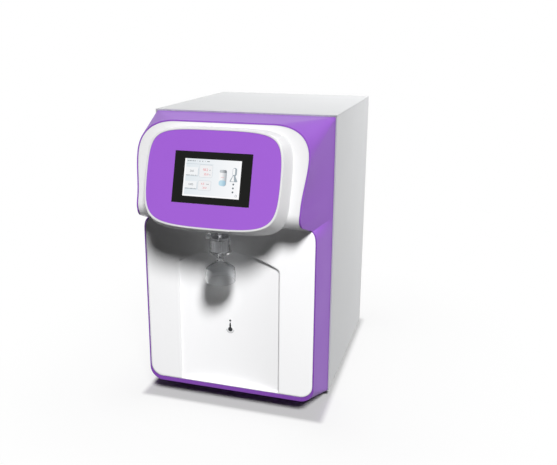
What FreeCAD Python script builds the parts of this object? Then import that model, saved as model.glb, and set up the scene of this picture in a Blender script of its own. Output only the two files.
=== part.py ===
"""Benchtop ultrapure water system: sheet steel case, moulded front with a tilted head, touch
screen pod, capsule final filter, service door and the water works behind it.

Everything is drawn in the case frame, in millimetres: X across, Y from the front edge of the
case to its back, Z up from the underside of the base tray. When all solids are made they are
moved together, so that the origin is the middle of the footprint at the underside of the feet.
"""
import FreeCAD, Part
import os
from math import sin, cos, tan, pi, radians, degrees, sqrt

V = FreeCAD.Vector
X, Y, Z = V(1, 0, 0), V(0, 1, 0), V(0, 0, 1)

# ---- sheet steel case ----
CASE_W = 323.4            # across the side panels
CASE_D = 341.5
CASE_H = 500.0
SHEET = 1.2
BASE_SHEET = 1.5
LIP = 14.0                # width of the folded lips of the panels
LIP_STOP = 3.0            # lips of the tray and the cover end this far inside the door's lip
TRAY_WALL = 20.0          # height of the tray's walls over its plate
COVER_ROUND = 0.9         # rounding of the top cover's edges
SEAM = 0.8                # open seam round the door
FOOT_D = 30.0
FOOT_H = 11.0
FOOT_INSET = 38.0         # centre of a foot from the edges of the base
FOOT_DRAFT = 2.0
FOOT_EDGE = 1.2
FOOT_HOLE_R = 2.6
FOOT_SINK_R = 6.0         # counterbore for the head of its screw
FOOT_SINK = 4.0
FOOT_SCREW_R = 2.5
FOOT_SCREW_OVER = 6.0     # end of the screw over the tray's plate
FOOT_HEAD_R = 4.6
FOOT_HEAD_T = 2.6
FOOT_NUT = 8.0            # across its flats
FOOT_NUT_T = 4.0
SCREW_R = 1.6
SCREW_LEN = 9.0
SCREW_HOLE_R = 1.8
SCREW_HEAD_R = 3.6
SCREW_HEAD_T = 2.2
CASE_SCREW_LEFT = 29.106  # rear case screws from the sides of the case
CASE_SCREW_RIGHT = 35.574
CASE_SCREW_LOW = 14.0
CASE_SCREW_TOP = 9.0

# ---- front frame: sheet bulkhead with two windows ----
FLANGE_D = 21.0           # depth of its flanges
FLANGE_FOOT = 24.0        # its left flange starts over the tray's wall
FLANGE_HEAD = 2.0         # and ends under the cover's lip
WINDOW_ROUND = 14.0
HIGH_WINDOW_SIDE = 29.4   # from the sides of the frame
HIGH_WINDOW_FOOT = 165.0  # from the top of the case
HIGH_WINDOW_HEAD = 30.0
LOW_WINDOW_SIDE = 47.4
LOW_WINDOW_FOOT = 90.0    # from the underside of the tray
LOW_WINDOW_HEAD = 220.0

# ---- front bezel, a drafted frame between the case and the white front ----
BEZEL_BACK_INSET = 2.2    # step from the case edge to the back of the bezel, at the sides
BEZEL_BACK_TOP = 3.0      # the same step at the top
BEZEL_BACK_LOW = 1.5
BEZEL_BACK_ROUND = 2.5
BEZEL_WALL = 2.2
BEZEL_RIM = 2.2           # purple rim showing round the white front
BEZEL_FOOT_RIM = 7.8      # the same below the lower panel
BEZEL_LIP = 2.5           # depth of solid material behind its front edge
BEZEL_THICK = 1.2         # and so much more than a wall across
BEZEL_SCREW_SIDE = 22.4   # its screws from the sides and the ends of the case
BEZEL_SCREW_END = 40.0
POST_R = 4.5              # screw posts and the webs that carry them
POST_WEB = 2.0
POST_HOLE_SHARE = 0.8     # depth of the screw hole as a share of the post

# ---- head: tilted face, s runs down along it from the height of the case top ----
HEAD_TILT = 17.0          # degrees from vertical
HEAD_REACH = 94.0         # head plane in front of the case, at the height of the case top
HEAD_TOP = 7.2
HEAD_INSET = 20.1         # its widest place inside the case's side
HEAD_CORNER_W = 60.6      # width of its rounded upper corners
HEAD_WIDE_AT = 59.0
PINCH_INSET = 27.0
PINCH_AT = 137.0
HEAD_LOW_INSET = 28.3
HEAD_DROP = 160.5         # where the head face and its underside would meet
LEDGE_TILT = 20.5         # underside of the head, degrees from level, falling to the back
HEAD_ROUND = 20.0         # rounding between them
CORNER_PULL = 0.64        # fullness of the head's upper corners

# ---- lower panel with its arched recess ----
HEAD_PROUD = 10.0         # panel behind the head plane, measured at the case top
LOWER_INSET = 12.5        # sides of the panel inside the case's sides
LOWER_TOP_INSET = 20.2
LOWER_BOTTOM = 28.8
LOWER_CORNER = 22.0
LOWER_SHOULDER = 22.0
FRONT_SKIN = 3.0
FRONT_GAP = 0.25
RECESS_MARGIN = 59.7      # sides of the recess inside the sides of the panel
RECESS_DOWN = 223.0       # its crown below the case top
RECESS_ARCH = 180.0       # radius of the arched top
RECESS_STEP = 2.0         # depth of the step at the sides
RECESS_DEPTH = 9.0        # depth in the middle
RECESS_SILL = 2.0
RECESS_CORNER = 7.0

# ---- display pod ----
POD_LIFT = 30.9           # face of the pod in front of the head face
POD_INSET = 33.2          # its sides inside the head's widest place
POD_TOP = 23.4
POD_WIDE_AT = 96.0
POD_UNDER = 12.8          # its lowest line below where the head face ends
POD_PULL = (0.93, 0.99, 0.92)   # fullness of its corners: across, upper, lower
POD_RIM = 3.0
POD_FLARE = 7.0           # growth of the pod from its face to its base
POD_BASE_FULL = 0.06      # the base has fuller lower corners than the face
POD_BASE_RISE = 3.3       # and its bottom grows by so much less
POD_WALL = 3.0
POD_NECK_GROW = 2.6       # neck of the pod behind its base
POD_NECK_GAP = 0.3
POD_EDGE = 1.2            # rounding of the rim
OVERLAY_T = 1.6
OVERLAY_SINK = 0.5
SCREEN_W = 126.0
SCREEN_H = 80.0
SCREEN_MID = 97.2         # s of the middle of the screen
SCREEN_FRAME_T = 2.0
VIEW_W = 92.0
VIEW_H = 58.0
VIEW_SINK = 0.9
PANEL_W = 106.0
PANEL_H = 68.0
PANEL_T = 5.0
BOARD_T = 1.6
BOARD_OFF = 8.0           # board behind the display
BOARD_OVER_W = 8.0        # board wider and higher than the display
BOARD_OVER_H = 14.0
BOARD_POST = 5.0
BOARD_POST_IN = 6.0
# parts on the board: across, along and off it, and their places from the screen's middle
BOARD_PARTS = ((16.0, 16.0, 2.0, 0.0, 0.0), (24.0, 8.0, 6.0, -36.0, -28.0), (18.0, 10.0, 7.0, 34.0, 26.0),
               (9.0, 9.0, 9.0, -28.0, 20.0), (30.0, 6.0, 8.0, 26.0, -30.0))

# ---- outlet and capsule filter; the filter's heights run down from the top of its stem ----
OUTLET_PROUD = 24.5       # filter axis in front of the head plane at the case top
FITTING_R = 10.0
FITTING_H = 26.0
FITTING_SINK = 1.0        # floor under the fitting thicker than the pod's wall
BOSS_H = 12.0             # boss in the pod under the fitting
STEM_R = 4.75
STEM_IN = 10.523          # stem inside the fitting
STEM_OUT = 23.0           # from the stem's top to the lid
STEM_BORE = 2.4
CAP_R = 15.6
CAP_DOME = 3.4
CAP_RIM = 4.1
CAP_PLUG = 1.0
GRIP_R = 16.2
GRIP_BORE = 14.4
GRIP_H = 20.5
GRIP_RIBS = 28
RIB_R = 0.55
FLANGE_R = 18.4
FLANGE_T = 2.4
FLANGE_CONE = 5.0
NECK_R = 6.8
NECK_DOWN = 10.5          # from the grip to the neck's top
NECK_H = 6.0
BELL_SHOULDER_R = 23.4
BELL_SHOULDER_H = 13.0
BELL_R = 25.0
BELL_WIDE_H = 9.5
BELL_MOUTH_R = 24.2
BELL_SKIRT_H = 12.5
CLEAR_WALL = 1.2
PLEATS = 20
PLEAT_CLEAR = 1.2         # membrane inside the grip
PLEAT_DEEP = 3.4
PLEAT_BAND = 2.5
VENT_R = 4.6
VENT_LEN = 6.6
VENT_OUT = 1.6            # inner end of the vent knob outside the lid
VENT_UP = 3.0             # vent over the lid's lower rim
VENT_BOSS = 3.0           # root of the vent boss inside the cap
VENT_STEM_R = 1.8
VENT_FLUTES = 10
RUN_GAP = 0.05            # radial running clearance of a shaft
SOFT_GAP = 0.3            # clearance between faces that pass each other
TUBE_R = 3.175
TUBE_BORE = 2.1
TUBE_BEND = 17.0

# ---- service door ----
PIVOT_IN_X = 5.5
PIVOT_IN_Y = 6.5
PIVOT_R = 2.5
PIVOT_H = 7.0
PULL_FROM = 30.0          # finger notch under the door
PULL_TO = 90.0
PULL_ROUND = 4.0
REAR_LIP = 8.5            # the door's rear lip and its clearance corner
REAR_LIP_CUT = 11.5
REAR_LIP_FROM = 16.5
STIFFENER_W = 40.0
STIFFENER_D = 8.0
STIFFENER_END = 30.0
MAGNET_W = 9.0
MAGNET_H = 26.0
MAGNET_IN = 2.0           # behind the door's front lip
MAGNET_END = 110.0        # from the underside and the top of the case
MAGNET_ROUND = 1.5

# ---- cartridges ----
CART_SIDE = 57.7          # their axes inside the case's side
CART_R = 42.0
CART_NECK_R = 32.0
CART_NECK_H = 34.0
CART_SLOPE_H = 20.0       # rounded shoulder under the neck, and its middle ring
CART_SLOPE_MID = 9.0
CART_FRONT = 18.0         # the first one behind the case's front
CART_GAP = 14.0           # between two of them
CART_LOW = 62.0
CART_DOWN = 114.0         # their tops below the case top
CART_DOME = 16.0
CART_WING_T = 8.0         # grip under the dome
CART_WING_H = 14.0
CART_BAND = 0.8
COLLAR_R = 38.0
COLLAR_H = 26.0
COLLAR_RIBS = 12
COLLAR_FLOOR = 4.0        # of the head's socket over the neck it takes
COLLAR_TOP = 10.0
COLLAR_CROWN = 14.0
COLLAR_RIB_TOP = 6.0
COLLAR_RIB_DEEP = 1.6
COLLAR_MOUTH_R = 6.0
HEAD_W = 58.0
HEAD_BLOCK_H = 32.0
HEAD_BLOCK_ROUND = 8.0
BRACKET_IN = 50.0         # sheet inboard of the cartridges' axes
BRACKET_DOWN = 70.0
BRACKET_END = 24.0        # from the front and the back of the case
WIRE_HOLE_W = 45.0        # openings in the bracket for the hoses
WIRE_HOLE_H = 80.0
WIRE_HOLE_LOW = 105.0
WIRE_HOLE_ROUND = 10.0
WIRE_HOLE_FRONT = 36.0    # from the ends of the sheet
WIRE_HOLE_BACK = 67.5
PORT_STUB_R = 5.0
PORT_STUB_H = 8.0
PORT_SPREAD = 15.0

# ---- pumps ----
PUMP_X = 0.0
PUMP_R = 31.0
PUMP_CLEAR = 12.5         # can over the plate of its cradle
PUMP_FROM = 92.0
PUMP_LEN = 96.0
PUMP_HEAD = 58.0
PUMP_HEAD_LEN = 46.0
PUMP_HEAD_ROUND = 9.0
PUMP_RIB = 2.0
PUMP_HUB_R = 9.0
PUMP_BOLT = 7.0
PUMP_BOLT_T = 3.0
CRADLE_T = 2.0
CRADLE_HALF_W = 38.0
CRADLE_END = 6.0          # its plate inside the ends of the can
SADDLE_HALF_W = 26.0
SADDLE_T = 10.0
SADDLE_FRONT = 26.0
SADDLE_BACK = 30.0
SADDLE_DOWN = 8.0         # top of a saddle below the can's axis
MOUNT_R = 8.0
MOUNT_WAIST = 2.0
MOUNT_H = 9.0
MOUNT_SIDE = 28.0
MOUNT_END = 18.0
CIRC_IN = 26.0            # circulation pump inboard of the lamp chamber
CIRC_UP = 42.5            # its axis over the tray's plate
CIRC_R = 23.0
CIRC_FROM = 66.0
CIRC_LEN = 78.0
CIRC_HEAD = 44.0
CIRC_HEAD_LEN = 30.0
CIRC_HEAD_ROUND = 6.0
CIRC_SPREAD = 11.0
CIRC_FOOT_HALF_W = 18.0
CIRC_FOOT_FRONT = 12.0    # ends of its foot inside the ends of the can
CIRC_FOOT_BACK = 10.0

# ---- lamp chamber ----
LAMP_SIDE = 43.7          # its axis inside the case's left side
LAMP_Y = 62.0
LAMP_R = 25.0
LAMP_WALL = 1.5
LAMP_LOW = 118.0
LAMP_DOWN = 90.0          # its upper end below the case top
LAMP_CAP_R = 29.0
LAMP_CAP_H = 22.0
LAMP_CAP_PLUG = 6.0
LAMP_CAP_EDGE = 3.0
CLIP_T = 3.0
CLIP_H = 16.0
CLIP_MOUTH = 28.0
CLIP_WEB = 18.0
CLIP_LOW = 50.0           # clips from the ends of the chamber
CLIP_HIGH = 70.0

# ---- valves and electrics ----
VALVE_X = (-30.0, 8.0)
VALVE_BACK = 48.3         # from the rear panel's inside to the valves' axes
VALVE_Z = 250.0
VALVE_W = 28.0
VALVE_D = 26.0
VALVE_H = 24.0
VALVE_FOOT_T = 3.0
VALVE_ROUND = 3.0
COIL_LESS = 1.0           # coil inside the body's outline all round
COIL_H = 34.0
COIL_NUT = 11.0
COIL_NUT_T = 4.0
TAB_LEN = 6.0
TAB_T = 0.8
TAB_UP = 8.0
SUPPLY_SIDE = 10.5        # supply from the left panel's inside
SUPPLY_BACK = 22.3        # and from the rear panel's inside
SUPPLY_W = 80.0
SUPPLY_D = 56.0
SUPPLY_H = 180.0
SUPPLY_LOW = 150.0
SUPPLY_SLOTS = 12
SUPPLY_SLOT_H = 4.0
SUPPLY_SLOT_PITCH = 12.5
SUPPLY_SLOT_IN = 12.0
SUPPLY_SLOT_DEEP = 3.0
EAR_W = 64.0
EAR_H = 12.0
EAR_IN = 10.0
MAIN_BOARD_D = 190.0
MAIN_BOARD_H = 150.0
MAIN_BOARD_OFF = 7.0      # off the bracket's sheet
MAIN_BOARD_Y = 92.0
MAIN_BOARD_LOW = 200.0
MAIN_POST_R = 3.0
MAIN_POST_IN = 8.0
# parts on the main board: place and size along Y, place and size along Z, and height off it
MAIN_PARTS = ((14.0, 22.0, 20.0, 22.0, 3.0), (50.0, 30.0, 14.0, 12.0, 14.0), (96.0, 18.0, 20.0, 18.0, 12.0),
              (128.0, 44.0, 10.0, 10.0, 13.0), (20.0, 60.0, 118.0, 12.0, 11.0),
              (104.0, 60.0, 118.0, 12.0, 11.0), (60.0, 20.0, 60.0, 20.0, 3.0),
              (120.0, 14.0, 70.0, 24.0, 16.0), (148.0, 14.0, 70.0, 24.0, 16.0))

# ---- runs of the water tubes ----
TUBE_OVER = 30.0          # highest runs below the case top
LINK_RISE = 24.0          # links over the heads' stubs
FEED_BACK = 36.0          # feed forward of its port, before it turns up
FEED_RISE = 57.0          # and over the pump's stubs
LAMP_RISE = 44.0          # over the circulation pump's stubs
LAMP_LEAN = 10.0
LAMP_AWAY = 62.0
LAMP_NEAR = 36.0
LAMP_UNDER = 24.0         # under the chamber's lower stub
OUTLET_OVER = 22.0        # over the chamber's upper stub
OUTLET_FALL = 50.0        # in front of the case, where the tube falls inside the front moulding
FITTING_OVER = 30.0       # over the outlet fitting

# ---- rear panel ----
JAMB_FOOT = 25.0
PORT_SIDE = 55.7          # the last port inside the case's right side
PORT_PITCH = 32.0
PORT_COUNT = 4
PORT_Z = 70.0
PORT_HOLE_R = 8.3
PORT_HEX = 21.0
PORT_BODY_R = 8.0
PORT_OUT = 13.0           # body outside the hexagon
PORT_HEX_T = 5.0
PORT_NUT_T = 6.0
PORT_IN = 16.0
PORT_BORE_R = 3.2
TUBE_STOP = 12.0          # a pushed-in tube goes this far past the collet
COLLET_R = 4.7
COLLET_LEN = 8.0
COLLET_HEAD_R = 6.4
COLLET_HEAD_T = 1.6
COLLET_EDGE = 0.5
COLLET_TRAVEL = 1.4
INLET_SIDE = 49.7         # middle of the inlet inside the case's left side
INLET_Z = 62.0
INLET_W = 50.0
INLET_H = 50.0
INLET_T = 2.4
INLET_BEHIND = 6.0        # body behind the fuse drawer's slot
SOCKET_W = 24.4
SOCKET_H = 16.8
SOCKET_DEPTH = 17.0
SOCKET_UP = 8.5           # socket above the middle of the inlet
SOCKET_ROUND = 2.5
PIN_W = 2.0
PIN_H = 4.0
PIN_SHORT = 6.0           # pins end this far inside the face
PIN_PLACES = ((-7.0, -1.0), (0.0, 2.5), (7.0, -1.0))
SOLDER_TAB = (0.8, 10.0, 6.0)
SOLDER_TAB_PITCH = 12.0
FUSE_W = 22.0
FUSE_H = 9.0
FUSE_DEPTH = 20.0
FUSE_DOWN = 14.0
FUSE_WALL = 2.0
FUSE_PROUD = 0.8
FUSE_GRIP = (10.0, 1.6, 2.4)
FUSE_GRIP_ROUND = 0.7
SWITCH_PITCH = 46.0       # switch beside the inlet
SWITCH_Z = 62.0
SWITCH_W = 15.0
SWITCH_H = 31.0
SWITCH_T = 2.0
SWITCH_D = 20.0
SWITCH_WELL = 12.0
CUT_UNDER = 3.0           # cut of the panel inside the inlet's flange
FLANGE_OVER = 1.0         # switch flange over its cut
BODY_GAP = 0.3
ROCKER_W = 10.6
ROCKER_H = 25.0
ROCKER_ANGLE = 11.0
ROCKER_RISE = 2.2         # ends and middle of its face over the flange
ROCKER_DIP = 0.6
ROCKER_DEEP = 7.0
PIVOT_DOWN = 4.0
LOUVRE_ROWS = 9
LOUVRE_W = 84.0
LOUVRE_X = 52.0           # middles of the two columns from the middle
LOUVRE_H = 3.2
LOUVRE_PITCH = 8.5
LOUVRE_DOWN = 45.0

# ---- sizes that follow from those above ----
HALF_W = CASE_W / 2
BACK_INNER = CASE_D - SHEET
PIVOT_X = HALF_W - PIVOT_IN_X
PIVOT_Y = CASE_D - PIVOT_IN_Y
TILT = radians(HEAD_TILT)
LEDGE = radians(LEDGE_TILT)
HEAD_UP = V(0, sin(TILT), cos(TILT))          # up along the head face
HEAD_UNDER = V(0, cos(LEDGE), -sin(LEDGE))    # back along its underside
HEAD_HALF_ANGLE = HEAD_UP.getAngle(HEAD_UNDER) / 2
HEAD_HALF_W = HALF_W - HEAD_INSET
HEAD_FLAT = HEAD_HALF_W - HEAD_CORNER_W       # half length of the straight top edge
PINCH_HALF_W = HALF_W - PINCH_INSET
HEAD_LOW_HALF_W = HALF_W - HEAD_LOW_INSET
LOWER_REACH = HEAD_REACH - HEAD_PROUD
LOWER_HALF_W = HALF_W - LOWER_INSET
LOWER_TOP_HALF_W = HALF_W - LOWER_TOP_INSET
RECESS_HALF_W = LOWER_HALF_W - RECESS_MARGIN
RECESS_TOP = CASE_H - RECESS_DOWN
POD_HALF_W = HEAD_HALF_W - POD_INSET
POD_BOTTOM = HEAD_DROP + POD_UNDER
NECK_S = POD_BOTTOM + POD_NECK_GROW           # lowest line of the pod's neck on the head face
OUTLET_Y = -HEAD_REACH - OUTLET_PROUD
OUTLET_LIFT = (OUTLET_PROUD - NECK_S * sin(TILT)) / cos(TILT)
# the outlet fitting's seat, over the sloping underside of the pod's neck
OUTLET_SEAT = (CASE_H - NECK_S * cos(TILT) + OUTLET_LIFT * sin(TILT) + POD_WALL
               + FITTING_R * sin(TILT) + FITTING_SINK)
STEM_TOP = OUTLET_SEAT + STEM_IN
CAP_TOP = STEM_TOP - STEM_OUT
CAP_SIDE = CAP_TOP - CAP_DOME
CAP_LOW = CAP_SIDE - CAP_RIM
GRIP_LOW = CAP_LOW - GRIP_H
NECK_TOP = GRIP_LOW - NECK_DOWN
NECK_LOW = NECK_TOP - NECK_H
BELL_SHOULDER_Z = NECK_LOW - BELL_SHOULDER_H
BELL_WIDE_Z = BELL_SHOULDER_Z - BELL_WIDE_H
BELL_LOW = BELL_WIDE_Z - BELL_SKIRT_H
VENT_X = CAP_R + VENT_OUT
VENT_Z = CAP_LOW + VENT_UP
CART_X = HALF_W - CART_SIDE
CART_TOP = CASE_H - CART_DOWN
CART_SHOULDER = CART_TOP - CART_NECK_H
BRACKET_X = CART_X - BRACKET_IN
BRACKET_TOP = CASE_H - BRACKET_DOWN
PUMP_Z = BASE_SHEET + MOUNT_H + PUMP_CLEAR + PUMP_R + CRADLE_T
LAMP_X = -HALF_W + LAMP_SIDE
LAMP_LEN = CASE_H - LAMP_DOWN - LAMP_LOW
CIRC_X = LAMP_X + CIRC_IN
CIRC_Z = BASE_SHEET + CIRC_UP
VALVE_Y = BACK_INNER - VALVE_BACK
SUPPLY_LEFT = -HALF_W + SHEET + SUPPLY_SIDE
SUPPLY_RIGHT = SUPPLY_LEFT + SUPPLY_W
SUPPLY_REAR = BACK_INNER - SUPPLY_BACK
PORT_X = tuple(HALF_W - PORT_SIDE - PORT_PITCH * (PORT_COUNT - 1 - k) for k in range(PORT_COUNT))
INLET_X = -HALF_W + INLET_SIDE
SWITCH_X = INLET_X + SWITCH_PITCH
LOUVRE_TOP = CASE_H - LOUVRE_DOWN


# ---- general shapes ----

def block(x, y, z):
    """Box between pairs of coordinates."""
    return Part.makeBox(x[1] - x[0], y[1] - y[0], z[1] - z[0], V(x[0], y[0], z[0]))


def rod(start, axis, radius, length):
    return Part.makeCylinder(radius, length, start, axis)


def sleeve(start, axis, outer, inner, length):
    return rod(start, axis, outer, length).cut(rod(start, axis, inner, length))


def prism_hex(start, axis, across_flats, length):
    """Hexagonal bar, two of its flats square to Z or, for a vertical bar, to Y."""
    radius = across_flats / sqrt(3)
    ring = [V(radius * cos(k * pi / 3), radius * sin(k * pi / 3), 0) for k in range(7)]
    bar = Part.Face(Part.makePolygon(ring)).extrude(Z * length)
    bar.Placement = FreeCAD.Placement(start, FreeCAD.Rotation(Z, axis))
    return bar


def turned(profile, centre, axis=Z):
    """Solid of revolution; the profile is a closed run of (radius, height) pairs."""
    ring = [V(r, 0, h) for r, h in profile]
    face = Part.Face(Part.makePolygon(ring + ring[:1]))
    solid = face.revolve(V(0, 0, 0), Z, 360)
    solid.Placement = FreeCAD.Placement(centre, FreeCAD.Rotation(Z, axis))
    return solid


def joined(first, *others):
    whole = first.fuse(list(others)).removeSplitter()
    return whole.Solids[0] if len(whole.Solids) == 1 else whole


def cut_by(shape, *tools):
    left = shape.cut(list(tools))
    return left.Solids[0] if len(left.Solids) == 1 else left


def mirrored(shape):
    return shape.mirror(V(0, 0, 0), X)


def group(solids):
    return Part.Compound(list(solids))


def curve(a, pull_a, pull_b, b):
    bezier = Part.BezierCurve()
    bezier.setPoles([a, pull_a, pull_b, b])
    return bezier.toShape()


def line(a, b):
    return Part.makeLine(a, b)


def rounded_bar(x, y, z, radius, axis=Y):
    """Box whose four edges along the axis are rounded."""
    solid = block(x, y, z)
    edges = [e for e in solid.Edges if abs(e.tangentAt(e.FirstParameter).dot(axis)) > 0.99]
    return solid.makeFillet(radius, edges)


def tube_section(at, way):
    outer, inner = (Part.Face(Part.Wire(Part.makeCircle(r, at, way))) for r in (TUBE_R, TUBE_BORE))
    return outer.cut(inner)


def tube_along(points):
    """Bent tube: straight runs joined by tangent arcs."""
    spans = []
    at = points[0]
    for before, corner, after in zip(points, points[1:], points[2:]):
        a = (before - corner).normalize()
        b = (after - corner).normalize()
        half = a.getAngle(b) / 2
        start = corner + a * (TUBE_BEND / tan(half))
        centre = corner + (a + b).normalize() * (TUBE_BEND / sin(half))
        spans.append(tube_section(at, a).extrude(start - at))
        spans.append(tube_section(start, a).revolve(centre, b.cross(a), 180 - degrees(half * 2)))
        at = corner + b * (TUBE_BEND / tan(half))
    spans.append(tube_section(at, b).extrude(points[-1] - at))
    return joined(*spans)


# ---- front: planes and outlines ----

def on_head(x, s, lift=0.0):
    """Point of the head's tilted face, s down along it, lift out of it."""
    out = HEAD_REACH + s * sin(TILT) + lift * cos(TILT)
    return V(x, -out, CASE_H - s * cos(TILT) + lift * sin(TILT))


def head_outline(grow, lift, drop):
    """Edges of the right half of the head outline, from the top middle to its lower corner."""
    top = HEAD_TOP - grow
    wide = HEAD_HALF_W + grow
    pinch = PINCH_HALF_W + grow
    foot = HEAD_LOW_HALF_W + grow
    corner_x = (wide - HEAD_FLAT) * CORNER_PULL
    corner_s = (HEAD_WIDE_AT - top) * CORNER_PULL
    waist = (PINCH_AT - HEAD_WIDE_AT) * 0.36
    tail = (drop - PINCH_AT) / 3

    def at(x, s):
        return on_head(x, s, lift)
    return [
        line(at(0, top), at(HEAD_FLAT, top)),
        curve(at(HEAD_FLAT, top), at(HEAD_FLAT + corner_x, top),
              at(wide, HEAD_WIDE_AT - corner_s), at(wide, HEAD_WIDE_AT)),
        curve(at(wide, HEAD_WIDE_AT), at(wide, HEAD_WIDE_AT + waist),
              at(pinch, PINCH_AT - waist), at(pinch, PINCH_AT)),
        curve(at(pinch, PINCH_AT), at(pinch, PINCH_AT + tail), at(foot, drop - tail), at(foot, drop)),
    ]


def front_block(grow, foot_grow, back_in, set_back=0.0):
    """Solid behind the front outline, ruled back to the case.

    grow widens the white front's outline, foot_grow lowers its bottom edge, back_in shrinks
    the outline at the case, set_back moves the three front planes inwards.
    """
    drop = head_drop(set_back)
    reach = LOWER_REACH - set_back
    head = head_outline(grow, -set_back, drop)
    corner = head[-1].Vertexes[-1].Point
    ledge_z = corner.z - (-corner.y - reach) * tan(LEDGE)
    half = LOWER_HALF_W + grow
    low = LOWER_BOTTOM - foot_grow
    round_low = LOWER_CORNER + grow
    shoulder = V(LOWER_TOP_HALF_W + grow, -reach, ledge_z)
    side_top = V(half, -reach, ledge_z - LOWER_SHOULDER)
    side_low = V(half, -reach, low + round_low)
    foot = V(half - round_low, -reach, low)
    turn = V(half - round_low * (1 - cos(pi / 4)), -reach, low + round_low * (1 - sin(pi / 4)))
    front = head + [
        line(corner, shoulder),
        curve(shoulder, shoulder + V(LOWER_SHOULDER * 0.18, 0, -LOWER_SHOULDER * 0.14),
              side_top + V(0, 0, LOWER_SHOULDER * 0.65), side_top),
        line(side_top, side_low),
        Part.Arc(side_low, turn, foot).toShape(),
        line(foot, V(0, -reach, low)),
    ]
    wide = HALF_W - BEZEL_BACK_INSET - back_in
    high = CASE_H - BEZEL_BACK_TOP - back_in
    deep = BEZEL_BACK_LOW + back_in
    r = BEZEL_BACK_ROUND
    far = r * (1 - cos(pi / 4))
    stops = [high - r] + [e.Vertexes[-1].Point.z + BEZEL_BACK_INSET for e in front[2:6]]
    stops.append(deep + r)
    back = [line(V(0, 0, high), V(wide - r, 0, high)),
            Part.Arc(V(wide - r, 0, high), V(wide - far, 0, high - far),
                     V(wide, 0, high - r)).toShape()]
    back += [line(V(wide, 0, a), V(wide, 0, b)) for a, b in zip(stops, stops[1:])]
    back += [Part.Arc(V(wide, 0, deep + r), V(wide - far, 0, deep + far),
                      V(wide - r, 0, deep)).toShape(),
             line(V(wide - r, 0, deep), V(0, 0, deep))]
    sides = [Part.makeRuledSurface(f, b) for f, b in zip(front, back)]
    faces = sides + [mirrored(s) for s in sides]

    def closed(edges):
        return Part.Face(Part.Wire(Part.__sortEdges__(edges + [mirrored(e) for e in edges])))
    faces.append(closed(back))
    faces.append(closed(head + [line(corner, V(0, corner.y, corner.z))]))
    faces.append(closed(front[5:] + [line(V(0, -reach, ledge_z), shoulder)]))
    faces.append(closed([line(V(0, corner.y, corner.z), corner), line(corner, shoulder),
                         line(shoulder, V(0, -reach, ledge_z))]))
    shell = Part.Shell(faces)
    shell.sewShape()
    return cut_by(Part.Solid(shell), head_edge_tool(set_back))


def head_drop(set_back):
    """Where the head face and its underside meet, both moved inwards."""
    return HEAD_DROP - set_back / tan(HEAD_HALF_ANGLE)


def head_edge_tool(set_back):
    """Bar along X that rounds the edge between the head face and its underside."""
    corner = on_head(-CASE_W, head_drop(set_back), -set_back)
    radius = HEAD_ROUND - set_back
    back = radius / tan(HEAD_HALF_ANGLE)
    inward = (HEAD_UP + HEAD_UNDER).normalize()
    face_end = corner + HEAD_UP * back
    under_end = corner + HEAD_UNDER * back
    middle = corner + inward * (radius / sin(HEAD_HALF_ANGLE) - radius)
    outline = [Part.Arc(face_end, middle, under_end).toShape()]
    beyond = [under_end, under_end - HEAD_UP * radius, corner - inward * radius * 2,
              face_end - HEAD_UNDER * radius, face_end]
    outline += [line(a, b) for a, b in zip(beyond, beyond[1:])]
    return Part.Face(Part.Wire(outline)).extrude(X * CASE_W * 2)


def head_core(set_back):
    """Everything behind the head face and above its underside, both moved inwards."""
    corner = on_head(-CASE_W, head_drop(set_back), -set_back)
    up, under = HEAD_UP * CASE_H, HEAD_UNDER * CASE_H
    ring = [corner, corner + up, corner + up + under, corner + under, corner]
    return cut_by(Part.Face(Part.makePolygon(ring)).extrude(X * CASE_W * 2), head_edge_tool(set_back))


# ---- front mouldings ----

def front_bezel():
    """Drafted frame behind the white front, with six screw posts, each on a web."""
    outer = front_block(BEZEL_RIM, BEZEL_FOOT_RIM, 0.0)
    wall = BEZEL_WALL
    hollow = front_block(BEZEL_RIM - wall - BEZEL_THICK, BEZEL_FOOT_RIM - wall, wall, BEZEL_LIP)
    opening = front_block(0.0, 0.0, LIP)
    frame = cut_by(outer, hollow, opening)
    side = HALF_W - BEZEL_BACK_INSET - wall
    posts, webs, holes = [], [], []
    for x, z in bezel_screw_places():
        across = (x - POST_WEB / 2, side) if x > 0 else (-side, x + POST_WEB / 2)
        posts.append(rod(V(x, -LIP, z), Y, POST_R, LIP))
        webs.append(block(across, (-LIP, 0), (z - POST_WEB / 2, z + POST_WEB / 2)).common(outer))
        holes.append(rod(V(x, -LIP * POST_HOLE_SHARE, z), Y, SCREW_HOLE_R, LIP))
    return cut_by(joined(frame, *posts, *webs), *holes)


def bezel_screw_places():
    return [(side * (HALF_W - BEZEL_SCREW_SIDE), z) for side in (-1, 1)
            for z in (BEZEL_SCREW_END, CASE_H / 2, CASE_H - BEZEL_SCREW_END)]


def pod_outline(grow, lift, base=False):
    """Closed outline of the pod, one curve to a quarter, grown outwards; the base differs
    from the face in its lower half."""
    half = POD_HALF_W + grow
    top, low = POD_TOP - grow, POD_BOTTOM + grow
    across, upper, lower = POD_PULL
    fuller = 0.0
    if base:
        low -= POD_BASE_RISE
        fuller = POD_BASE_FULL

    def quarter(end, pull_x, pull_s):
        return curve(on_head(0, end, lift), on_head(half * pull_x, end, lift),
                     on_head(half, POD_WIDE_AT + (end - POD_WIDE_AT) * pull_s, lift),
                     on_head(half, POD_WIDE_AT, lift))
    right = [quarter(top, across, upper), quarter(low, across + fuller, lower + fuller)]
    return Part.Wire(Part.__sortEdges__(right + [mirrored(e) for e in right]))


def pod_body():
    """Outside of the pod, drafted from the rounded rim of its face to its base."""
    rings = [pod_outline(POD_RIM - POD_EDGE, POD_LIFT),
             pod_outline(POD_RIM - POD_EDGE * 0.3, POD_LIFT - POD_EDGE * 0.3),
             pod_outline(POD_RIM, POD_LIFT - POD_EDGE),
             pod_outline(POD_RIM + POD_FLARE, 0.0, base=True)]
    return Part.makeLoft(rings, True, True)


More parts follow.
